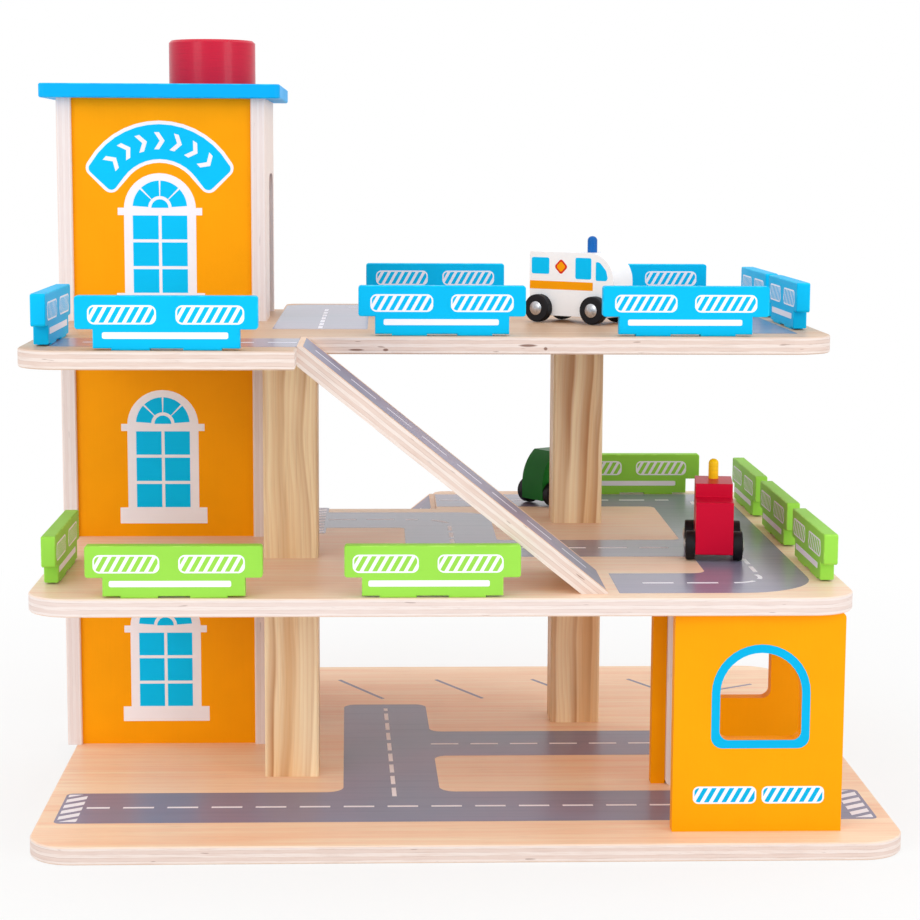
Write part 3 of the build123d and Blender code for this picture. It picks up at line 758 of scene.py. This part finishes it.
class GARAGE_OT_vehicles(bpy.types.Operator):
    """Painted vehicle bodies, wheels and lights"""

    bl_idname = "garage.vehicles"
    bl_label = "Vehicles"

    def execute(self, context):
        colours = paints()
        dress("ambulance_body", paint("ambulance_white", colours.white, X, 0.28, wear=0.0))
        dress("truck_body", paint("truck_crimson", colours.crimson, Y, 0.24, wear=0.0))
        dress("car_body", paint("car_green", colours.dark_green, X, 0.26, wear=0.0))
        dress("ambulance_beacon", turned("beacon_blue", BEACON_BLUE, 0.3))
        dress("truck_beacon", turned("beacon_yellow", colours.yellow, 0.3))
        rubber = turned("wheel_black", colours.black, 0.42)
        for vehicle in ("ambulance", "truck", "car"):
            for axle in ("front", "rear"):
                dress(f"{vehicle}_{axle}_wheels", rubber)
        return {"FINISHED"}


# Roads ----------------------------------------------------------------------------------

DASH = 17.5  # length and width of a white dash, and from one dash to the next
DASH_WIDTH = 2.6
DASH_PERIOD = 25.1
HATCH_RISE = 7.0  # how far a hatched bar climbs from one side to the other
HATCH_PITCH = 11.0
HATCH_WIDTH = 6.2
DULL = 0.15  # shares of lacquer over the road ink
GLOSSY = 0.6


def dashes(start, end, first=0.0):
    """Broken line from start to end; its first dash starts at first."""
    a, b = Vector(start), Vector(end)
    along = (b - a).normalized()
    total = (b - a).length
    shapes = []
    at = first
    while at + DASH / 3 < total:
        stop = min(at + DASH, total)
        shapes.append(bar(a + along * max(at, 0.0), a + along * stop, DASH_WIDTH))
        at += DASH_PERIOD
    return shapes


def hatch_column(x0, y0, x1, y1):
    """Slanted bars stacked along Y between two sides."""
    window = box_outline(x0, y0, x1, y1, 1.0)
    shapes = []
    y = y0 - HATCH_RISE
    while y < y1:
        low = [(x0, y), (x1, y + HATCH_RISE)]
        high = [(x1, y + HATCH_RISE + HATCH_WIDTH), (x0, y + HATCH_WIDTH)]
        shapes.append(clipped(low + high, window))
        y += HATCH_PITCH
    return [shape for shape in shapes if shape]


def lay_roads(name, face, roads, lines, lacquer):
    """One sheet of grey roads and one of white lines on a face."""
    colours = paints()
    grey = road_grey(f"{name}_road_ink", colours.road, colours.road_tint, lacquer)
    white = ink(f"{name}_line_ink", colours.print_white, 0.3)
    Print(f"{name}_roads", grey, "road_print").lay(face, roads).fix()
    Print(f"{name}_lines", white, "white_print").lay(face, lines, layer=2).fix()


class GARAGE_OT_base_roads(bpy.types.Operator):
    """Roads and parking bays printed on the base board"""

    bl_idname = "garage.base_roads"
    bl_label = "Base roads"

    def execute(self, context):
        face = deck_face("base_board")
        road = rounded(
            [
                (9.5, 43.5, 4), (472, 43.5, 4), (472, 102, 4), (226.5, 102, 10), (225, 181, 8),
                (448, 181, 6), (448, 239, 6), (223.5, 239, 8), (222, 311, 8), (167, 311, 8),
                (170, 102, 10), (9.5, 102, 4),
            ]
        )
        lines = dashes((24.4, 73), (456, 73), first=-4.4)
        lines += dashes((199.8, 93), (195, 300))
        lines += dashes((223.5, 208.5), (446, 208.5))
        lines += hatch_column(11.0, 46.5, 22.0, 99.5)
        lines += hatch_column(458.5, 46.5, 470.0, 99.5)
        bays = [
            bar((162.5 + 68.5 * i, 382.9), (193.3 + 68.5 * i, 327.5), DASH_WIDTH) for i in range(4)
        ]
        bays.append(bar((428, 350), (454, 366), DASH_WIDTH))
        lay_roads("base", face, [road, *bays], lines, DULL)
        return {"FINISHED"}


class GARAGE_OT_middle_roads(bpy.types.Operator):
    """Roads printed on the middle deck"""

    bl_idname = "garage.middle_roads"
    bl_label = "Middle deck roads"

    def execute(self, context):
        face = deck_face("middle_deck")
        road = rounded(
            [
                (322, 27, 1), (434, 27, 45), (434, 386, 22), (230, 386, 0), (230, 331, 0),
                (378, 331, 6), (378, 197, 6), (264, 197, 4), (264, 306, 22), (157, 306, 0),
                (157, 326, 2), (136, 326, 2), (136, 223, 2), (157, 223, 2), (157, 244, 0),
                (207, 244, 4), (207, 139, 4), (378, 139, 8), (378, 85, 8), (322, 85, 1),
            ]
        )
        lines = dashes((324, 56), (386, 56), first=14.0)
        for start, end in ((-88, -45), (-22, 20)):
            lines.append(band((389, 74), 16.7, 19.3, radians(start), radians(end)))
        lines += dashes((407, 88), (407, 352))
        lines += dashes((232, 359), (392, 359))
        lines += dashes((249, 169), (376, 169))
        lines += dashes((158, 276), (216, 276))
        lines += dashes((236, 250), (236, 178))
        lines.append(band((216, 256), 18.7, 21.3, radians(18), radians(62)))
        lines += hatch_column(138, 225, 155.5, 324)
        lay_roads("middle", face, [road], lines, GLOSSY)
        return {"FINISHED"}


class GARAGE_OT_top_roads(bpy.types.Operator):
    """Roads printed on the top deck"""

    bl_idname = "garage.top_roads"
    bl_label = "Top deck roads"

    def execute(self, context):
        face = deck_face("top_deck")
        loop = rounded(
            [
                (128, 148, 1), (184, 148, 1), (184, 316, 6), (378, 316, 6), (378, 120, 1),
                (434, 120, 1), (434, 369, 22), (138, 369, 8), (128, 359, 8),
            ]
        )
        arm = rounded([(14, 22, 8), (147, 22, 0), (147, 78, 0), (14, 78, 8)])
        lines = dashes((156, 152), (156, 330))
        lines += dashes((170, 343), (400, 343))
        lines += dashes((406, 124), (406, 330))
        lines += dashes((30, 50), (146, 50))
        lay_roads("top", face, [loop, arm], lines, GLOSSY)
        return {"FINISHED"}


class GARAGE_OT_ramp_roads(bpy.types.Operator):
    """Roads printed on the two ramps"""

    bl_idname = "garage.ramp_roads"
    bl_label = "Ramp roads"

    margin: FloatProperty(name="Margin", description="Bare wood beside the road, in mm", default=4.6)

    def execute(self, context):
        for node, way in RAMPS:
            face, length, width = slope_face(node, way)
            road = box_outline(0.5, self.margin, length - 1.0, width - self.margin)
            lines = dashes((8, width / 2), (length - 8, width / 2))
            lay_roads(node, face, [road], lines, DULL)
        return {"FINISHED"}


# Tower ----------------------------------------------------------------------------------

# The printed windows, in millimetres on their panels
WINDOW_CENTRE = 53.0
WINDOWS = (  # storey, height where the arch springs, top of the sill, foot of the frame
    ("ground", 75.2, 24.0, 15.0),
    ("middle", 69.8, 18.2, 8.6),
    ("top", 68.3, 17.0, 8.6),
)
ARCH_RADIUS = 22.0
CROSSBAR_LOW, CROSSBAR_HIGH = -3.6, 0.9  # from where the arch springs
CROSSBAR_REACH = 25.8
SILL_REACH = 27.0
SILL_DROP = 0.5
TRIM_CORNER = 0.3
HUB_RADIUS = 5.2  # middle pane of the fan light, and where the panes round it start
FAN_RADIUS = 7.2
FAN_PANES = ((4, 43), (47, 88), (92, 133), (137, 176))  # degrees
PANE_SPREAD = 16.6
PANE_ROWS = 3
PANE_GAP = 0.2
GLAZING_BAR = 1.9


def arched_window(white, blue, face, spring, sill, foot):
    """Printed window: white frame with a fan light, crossbar and sill, and blue panes."""
    centre = WINDOW_CENTRE
    frame_shape = [(centre - ARCH_RADIUS, foot), (centre + ARCH_RADIUS, foot)]
    frame_shape += arc((centre, spring), ARCH_RADIUS, 0, pi)
    white.lay(face, [frame_shape])
    bar_low, bar_high = spring + CROSSBAR_LOW, spring + CROSSBAR_HIGH
    for reach, low, high in (
        (CROSSBAR_REACH, bar_low, bar_high),
        (SILL_REACH, foot - SILL_DROP, sill),
    ):
        trim = box_outline(centre - reach, low, centre + reach, high, TRIM_CORNER)
        white.lay(face, [trim], layer=1.5)
    hub = (centre, bar_high)
    for start, end in FAN_PANES:
        pane = band(hub, FAN_RADIUS, PANE_SPREAD, radians(start), radians(end))
        blue.lay(face, [pane], layer=2)
    blue.lay(face, [arc(hub, HUB_RADIUS, 0, pi)], layer=2)
    pane_top = bar_low - PANE_GAP
    pane_bottom = sill + PANE_GAP
    height = (pane_top - pane_bottom + GLAZING_BAR) / PANE_ROWS - GLAZING_BAR
    for row in range(PANE_ROWS):
        low = pane_bottom + row * (height + GLAZING_BAR)
        for side in (-1, 1):
            inner, outer = sorted((centre + side * GLAZING_BAR / 2, centre + side * PANE_SPREAD))
            blue.lay(face, [box_outline(inner, low, outer, low + height)], layer=2)


class GARAGE_OT_tower_windows(bpy.types.Operator):
    """Windows printed on the tower's front panels"""

    bl_idname = "garage.tower_windows"
    bl_label = "Tower windows"

    def execute(self, context):
        colours = paints()
        frame_ink = ink("window_white", colours.print_white, 0.25)
        pane_ink = ink("window_blue", colours.print_blue, 0.3)
        white = Print("window_frames", frame_ink, "white_print")
        blue = Print("window_panes", pane_ink, "blue_print")
        for storey, spring, sill, foot in WINDOWS:
            arched_window(white, blue, front_face(f"{storey}_front_panel"), spring, sill, foot)
        white.fix()
        blue.fix()
        return {"FINISHED"}


BANNER_CENTRE = (53.2, 71.4)
BANNER_INNER, BANNER_OUTER = 25.2, 50.7  # radii of its edges
BANNER_BORDER = 2.2
CHEVRON_RADIUS = 38.5
CHEVRON_SPREAD = radians(96)
CHEVRON_ARM, CHEVRON_DEPTH, CHEVRON_STROKE = 5.2, 3.4, 3.0


class GARAGE_OT_banner(bpy.types.Operator):
    """Arched banner over the tower's top window, with plain chevrons"""

    bl_idname = "garage.banner"
    bl_label = "Tower banner"

    chevrons: IntProperty(
        name="Chevrons", description="Arrowheads along the banner", default=7, min=2
    )

    def execute(self, context):
        colours = paints()
        face = front_face("top_front_panel")
        white = Print("banner_white", ink("banner_white", colours.print_white, 0.25), "white_print")
        blue = Print("banner_blue", ink("banner_blue", colours.print_blue, 0.3), "blue_print")
        white.lay(face, [self.arched(0.0)])
        blue.lay(face, [self.arched(BANNER_BORDER)], layer=2)
        for i in range(self.chevrons):
            turn = CHEVRON_SPREAD * i / (self.chevrons - 1)
            white.lay(face, [self.chevron(pi / 2 + CHEVRON_SPREAD / 2 - turn)], layer=3)
        white.fix()
        blue.fix()
        return {"FINISHED"}

    def arched(self, inset):
        """Arched band with slanting ends and rounded corners, inside its own edge by inset."""
        x, y = BANNER_CENTRE
        crown = arc(BANNER_CENTRE, BANNER_OUTER - inset, radians(31), radians(149))
        hollow = arc(BANNER_CENTRE, BANNER_INNER + inset, radians(144), radians(36))
        corner = 5.6 - inset
        left, right = (
            [
                (x + side * (46.6 - inset), y + 21.4, corner),
                (x + side * (29.6 - inset * 0.2), y + 4.4 + inset * 1.2, corner),
            ]
            for side in (-1, 1)
        )
        return rounded(
            [(*p, 0) for p in crown] + left + [(*p, 0) for p in hollow] + right[::-1]
        )

    def chevron(self, angle):
        """Arrowhead that points clockwise along the arc."""
        ahead = Vector((sin(angle), -cos(angle)))
        outward = Vector((cos(angle), sin(angle)))
        middle = Vector(BANNER_CENTRE) + outward * CHEVRON_RADIUS
        depth, stroke = CHEVRON_DEPTH / 2, CHEVRON_STROKE / 2
        shape = [
            (-depth - stroke, CHEVRON_ARM), (-depth + stroke, CHEVRON_ARM), (depth + stroke, 0),
            (-depth + stroke, -CHEVRON_ARM), (-depth - stroke, -CHEVRON_ARM), (depth - stroke, 0),
        ]
        return [tuple(middle + ahead * a + outward * b) for a, b in shape]


# Booth and barriers ---------------------------------------------------------------------

Patch = namedtuple("Patch", "radius pitch width lean border")  # corner, stripes and border
BOOTH_PATCH = Patch(3.2, 4.85, 2.6, 4.4, 0.9)
BARRIER_PATCH = Patch(3.6, 4.75, 2.6, 4.6, 0.9)


def striped_patch(white, coloured, face, x0, y0, x1, y1, patch):
    """White patch with rounded corners, crossed by slanted stripes of the ground colour."""
    white.lay(face, [box_outline(x0, y0, x1, y1, patch.radius)])
    inner = stripes(
        x0 + patch.border, y0 + patch.border, x1 - patch.border, y1 - patch.border,
        patch.pitch, patch.width, patch.lean, patch.radius - patch.border,
    )
    coloured.lay(face, inner, layer=2)


class GARAGE_OT_booth_prints(bpy.types.Operator):
    """Blue arch round the booth's window and the striped patches below it"""

    bl_idname = "garage.booth_prints"
    bl_label = "Booth prints"

    def execute(self, context):
        colours = paints()
        face = front_face("booth_front_panel")
        white = Print("booth_white", ink("booth_white", colours.print_white, 0.2), "white_print")
        blue_ink = ink("booth_blue", shade(colours.print_blue, 0.92), 0.3)
        blue = Print("booth_blue", blue_ink, "blue_print")
        middle, spring, foot = 47.9, 78.2, 56.8
        inner, outer = 22.5, 27.2
        inside = [(middle + inner, foot)]
        inside += arc((middle, spring), inner, 0, pi) + [(middle - inner, foot)]
        outside = [(middle - outer, foot)]
        outside += arc((middle, spring), outer, pi, 0) + [(middle + outer, foot)]
        blue.lay(face, [inside + outside])
        bend, sill_height, hollow = 6.5, 53.6, 5.0
        sill = [(middle - outer, foot)]
        sill += arc((middle - outer + bend, sill_height), bend, pi, 1.5 * pi)
        sill += arc((middle + outer - bend, sill_height), bend, -pi / 2, 0)
        sill += [(middle + outer, foot), (middle + inner, foot)]
        sill += arc((middle + inner - hollow, foot), hollow, 0, -pi / 2)
        sill += arc((middle - inner + hollow, foot), hollow, -pi / 2, -pi)
        sill += [(middle - inner, foot)]
        blue.lay(face, [sill])
        low, high = 15.8, 25.6
        for left, right in ((11.3, 46.4), (49.4, 84.0)):
            striped_patch(white, blue, face, left, low, right, high, BOOTH_PATCH)
        white.fix()
        blue.fix()
        return {"FINISHED"}


BARRIER_LENGTH = 95.1
BARRIERS_IN = {"blue_barriers_rear": 2, "green_barriers_right": 3}
PATCH_STARTS = (5.6, 51.3)  # left edges of a barrier's two patches
PATCH_LENGTH = 35.6
PATCH_LOW, PATCH_HIGH = 13.6, 23.6
BAR_LEFT, BAR_RIGHT = 13.6, 79.0  # the white bar below the patches
BAR_LOW, BAR_HIGH = 6.1, 9.5


class GARAGE_OT_barrier_prints(bpy.types.Operator):
    """Striped patches and white bar on both faces of every barrier"""

    bl_idname = "garage.barrier_prints"
    bl_label = "Barrier prints"

    def execute(self, context):
        colours = paints()
        for nodes, name, shift in ((BLUE_BARRIERS, "blue", 1.2), (GREEN_BARRIERS, "green", -1.2)):
            white_ink = ink(f"{name}_barrier_white", colours.print_white, 0.25)
            stripe_ink = ink(f"{name}_stripe", getattr(colours, name), 0.3)
            white = Print(f"{name}_barrier_white", white_ink, "white_print")
            stripe = Print(f"{name}_barrier_stripes", stripe_ink, f"{name}_paint")
            for node in nodes:
                for face in self.faces(node):
                    self.print_barrier(white, stripe, face, shift)
            white.fix()
            stripe.fix()
        return {"FINISHED"}

    def faces(self, node):
        """Front and rear faces of each barrier in a node."""
        low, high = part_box(node)
        along = Y if any(side in node for side in ALONG_Y) else X
        reach = (high - low).dot(along)
        count = BARRIERS_IN.get(node, 1)
        step = (reach - BARRIER_LENGTH * MM) / max(1, count - 1)
        for i in range(count):
            start = low + along * step * i
            if along == X:
                yield Face(start, X, Z, -Y)
                yield Face(Vector((start.x + BARRIER_LENGTH * MM, high.y, low.z)), -X, Z, Y)
            else:
                yield Face(Vector((high.x, start.y, low.z)), Y, Z, X)
                yield Face(Vector((low.x, start.y + BARRIER_LENGTH * MM, low.z)), -Y, Z, -X)

    def print_barrier(self, white, stripe, face, shift):
        """Two patches and a bar, shifted along the barrier."""
        for start in PATCH_STARTS:
            left = start + shift
            right = left + PATCH_LENGTH
            striped_patch(white, stripe, face, left, PATCH_LOW, right, PATCH_HIGH, BARRIER_PATCH)
        nudge = shift * 0.6
        bar_shape = box_outline(BAR_LEFT + nudge, BAR_LOW, BAR_RIGHT + nudge, BAR_HIGH, 1.0)
        white.lay(face, [bar_shape])


# Vehicles -------------------------------------------------------------------------------

WHEEL_RADIUS = 8.5  # millimetres
AMBULANCE_WIDTH = 22.5
STRIPE_ORANGE = (1.0, 0.64, 0.0)
EDGE_RED = (0.86, 0.20, 0.12)

# Prints on the ambulance's right side, from the middle between its axles and from the floor
AMBULANCE_PANES = (
    box_outline(-26.9, 29.5, -14.0, 39.6, 1.2),
    box_outline(5.0, 27.0, 16.4, 40.0, 1.2),
    rounded(
        [
            (19.6, 26.4, 1.0), (28.6, 26.4, 2.0), (27.0, 32.6, 4.0),
            (22.6, 37.4, 3.0), (19.6, 38.0, 1.0),
        ]
    ),
)
AMBULANCE_STRIPE = box_outline(-28.2, 20.2, 17.6, 25.2, 0.4)
DIAMOND_PLACE = (-5.4, 34.2)
DIAMOND_EDGE, DIAMOND_FIELD = 5.0, 3.4  # how far each reaches from its middle


def ambulance_side(way):
    """Side of the ambulance's body: across runs forward from the middle between the axles on
    the right side (way 1) and backward on the left (way -1), and up starts at the floor."""
    ahead = Vector(JOINTS["ambulance_roll"]["axis"])
    right = ahead.cross(Z)
    front = Vector(JOINTS["ambulance_front_wheel_turn"]["pos_m"])
    rear = Vector(JOINTS["ambulance_rear_wheel_turn"]["pos_m"])
    middle = (front + rear) / 2
    middle.z -= WHEEL_RADIUS * MM
    half = AMBULANCE_WIDTH / 2
    return Face(middle + right * way * half * MM, ahead * way, Z, right * way)


def on_side(shape, way):
    """A shape of the right side as it lies on either side, still anticlockwise."""
    return [(u * way, v) for u, v in shape][::way]


def diamond(place, reach):
    """Square on its corner, with rounded corners."""
    u, v = place
    corner = reach / 3
    return rounded(
        [(u, v - reach, corner), (u + reach, v, corner), (u, v + reach, corner), (u - reach, v, corner)]
    )


class GARAGE_OT_vehicle_prints(bpy.types.Operator):
    """Windows, stripe and plain diamond on the ambulance"""

    bl_idname = "garage.vehicle_prints"
    bl_label = "Vehicle prints"

    def execute(self, context):
        colours = paints()
        pane = ink("ambulance_glass", colours.print_blue, 0.2, 0.3)
        amber = ink("ambulance_orange", STRIPE_ORANGE, 0.2, 0.3)
        red = ink("ambulance_red", EDGE_RED, 0.2, 0.3)
        glass = Print("ambulance_windows", pane, "blue_print", "ambulance")
        orange = Print("ambulance_orange_prints", amber, "orange_print", "ambulance")
        outline = Print("ambulance_diamond_edge", red, "crimson_paint", "ambulance")
        for way in (1, -1):
            face = ambulance_side(way)
            glass.lay(face, [on_side(shape, way) for shape in AMBULANCE_PANES])
            orange.lay(face, [on_side(AMBULANCE_STRIPE, way)])
            outline.lay(face, [on_side(diamond(DIAMOND_PLACE, DIAMOND_EDGE), way)])
            orange.lay(face, [on_side(diamond(DIAMOND_PLACE, DIAMOND_FIELD), way)], layer=2)
        glass.fix()
        orange.fix()
        outline.fix()
        return {"FINISHED"}


# Stage ----------------------------------------------------------------------------------

CAMERA_PLACE = Vector((-0.0481, -1.3608, 0.3763))
CAMERA_YAW = radians(2.079)
CAMERA_PITCH = radians(7.740)
CAMERA_ROLL = radians(0.2737)
SENSOR_WIDTH = 36.0
NEAREST = 0.05  # metres in front of the camera that still show

WHITE = (1, 1, 1, 1)
PAPER = (0.86, 0.86, 0.86, 1.0)
FLOOR_HALF = 6.0  # metres from its middle to its edge
SHADOW_FULL, SHADOW_GONE = 0.30, 0.75  # metres from the middle between which the shadow fades

LAMP_TARGET = Vector((0.0, 0.0, 0.18))
LAMPS = (  # name, place, width in metres, and the power that the stage gives it
    ("lamp_front_left", Vector((-1.5, -1.9, 1.0)), 1.0, "key"),
    ("lamp_front_right", Vector((1.7, -1.7, 0.8)), 1.0, "key"),
    ("lamp_overhead", Vector((0.1, 0.2, 2.2)), 1.8, "top"),
)


class GARAGE_OT_stage(bpy.types.Operator):
    """Pale floor, soft lamps and the camera"""

    bl_idname = "garage.stage"
    bl_label = "Stage"

    def execute(self, context):
        look = context.scene.garage_stage
        self.lay_floor(look)
        self.hang_lamps(look)
        self.set_world(look)
        self.set_camera(look)
        context.scene.view_settings.view_transform = "Standard"
        return {"FINISHED"}

    def lay_floor(self, look):
        """Pale floor that shows white, and some of its own shade near the garage."""
        shape = bmesh.new()
        bmesh.ops.create_grid(shape, x_segments=1, y_segments=1, size=FLOOR_HALF)
        finish = Finish("pale_floor")
        white = finish.node("ShaderNodeEmission", {}, {"Color": WHITE, "Strength": 1.0})
        paper = finish.node("ShaderNodeBsdfDiffuse", {}, {"Color": PAPER})
        reach = finish.vector("LENGTH", finish.place(), output="Value")
        near = (1 - reach.ramp(SHADOW_FULL, SHADOW_GONE)) * look.floor_show
        share = finish.in_view() * (1 - near)
        mixed = finish.node("ShaderNodeMixShader", {}, {0: share, 1: paper, 2: white})
        floor = mesh_object("floor", shape, finish.close(mixed))

    def hang_lamps(self, look):
        """Square area lamps, all turned to the garage."""
        for name, spot, width, power in LAMPS:
            lamp = bpy.data.lights.new(name, "AREA")
            lamp.shape = "SQUARE"
            lamp.size = width
            lamp.energy = getattr(look, power)
            stand = bpy.data.objects.new(name, lamp)
            stand.location = spot
            stand.rotation_euler = (LAMP_TARGET - spot).to_track_quat("-Z", "Y").to_euler()
            bpy.context.scene.collection.objects.link(stand)

    def set_world(self, look):
        """Even light from all round, which shows as plain white."""
        sky = Finish("studio", "worlds")
        even = sky.node("ShaderNodeBackground", {}, {"Color": WHITE, "Strength": look.fill})
        white = sky.node("ShaderNodeBackground", {}, {"Color": WHITE, "Strength": 1.0})
        mixed = sky.node("ShaderNodeMixShader", {}, {0: sky.in_view(), 1: even, 2: white})
        bpy.context.scene.world = sky.close(mixed, "ShaderNodeOutputWorld")

    def set_camera(self, look):
        """Camera at the photograph's place and angle."""
        level_reach = cos(CAMERA_PITCH)
        ahead = Vector(
            (sin(CAMERA_YAW) * level_reach, cos(CAMERA_YAW) * level_reach, -sin(CAMERA_PITCH))
        )
        level = Vector((cos(CAMERA_YAW), -sin(CAMERA_YAW), 0))
        upright = level.cross(ahead)
        right = level * cos(CAMERA_ROLL) + upright * sin(CAMERA_ROLL)
        up = upright * cos(CAMERA_ROLL) - level * sin(CAMERA_ROLL)
        lens = bpy.data.cameras.new("camera")
        lens.lens = look.focal
        lens.sensor_width = SENSOR_WIDTH
        lens.sensor_fit = "HORIZONTAL"
        lens.clip_start = NEAREST
        camera = bpy.data.objects.new("camera", lens)
        turn = Matrix((right, up, -ahead)).transposed()
        camera.matrix_world = Matrix.Translation(CAMERA_PLACE) @ turn.to_4x4()
        bpy.context.scene.collection.objects.link(camera)
        bpy.context.scene.camera = camera


# Add-on ---------------------------------------------------------------------------------

GROUPS = (GarageTimber, GaragePaint, GarageStage)
OPERATORS = (
    GARAGE_OT_boards,
    GARAGE_OT_posts,
    GARAGE_OT_paintwork,
    GARAGE_OT_hardware,
    GARAGE_OT_vehicles,
    GARAGE_OT_base_roads,
    GARAGE_OT_middle_roads,
    GARAGE_OT_top_roads,
    GARAGE_OT_ramp_roads,
    GARAGE_OT_tower_windows,
    GARAGE_OT_banner,
    GARAGE_OT_booth_prints,
    GARAGE_OT_barrier_prints,
    GARAGE_OT_vehicle_prints,
    GARAGE_OT_stage,
)


class GARAGE_PT_panel(bpy.types.Panel):
    """Lists the garage's finishes and prints"""

    bl_label = "Toy garage"
    bl_space_type = "VIEW_3D"
    bl_region_type = "UI"
    bl_category = "Garage"

    def draw(self, context):
        for operator in OPERATORS:
            self.layout.operator(operator.bl_idname)
        scene = context.scene
        for group in (scene.garage_timber, scene.garage_paint, scene.garage_stage):
            for name in group.__annotations__:
                self.layout.prop(group, name)


def register():
    for group in GROUPS:
        bpy.utils.register_class(group)
    bpy.types.Scene.garage_timber = PointerProperty(type=GarageTimber)
    bpy.types.Scene.garage_paint = PointerProperty(type=GaragePaint)
    bpy.types.Scene.garage_stage = PointerProperty(type=GarageStage)
    for operator in OPERATORS:
        bpy.utils.register_class(operator)
    bpy.utils.register_class(GARAGE_PT_panel)


def unregister():
    bpy.utils.unregister_class(GARAGE_PT_panel)
    for operator in reversed(OPERATORS):
        bpy.utils.unregister_class(operator)
    del bpy.types.Scene.garage_stage
    del bpy.types.Scene.garage_paint
    del bpy.types.Scene.garage_timber
    for group in reversed(GROUPS):
        bpy.utils.unregister_class(group)


def main():
    register()
    for operator in OPERATORS:
        family, name = operator.bl_idname.split(".")
        getattr(getattr(bpy.ops, family), name)()


if __name__ == "__main__":
    main()
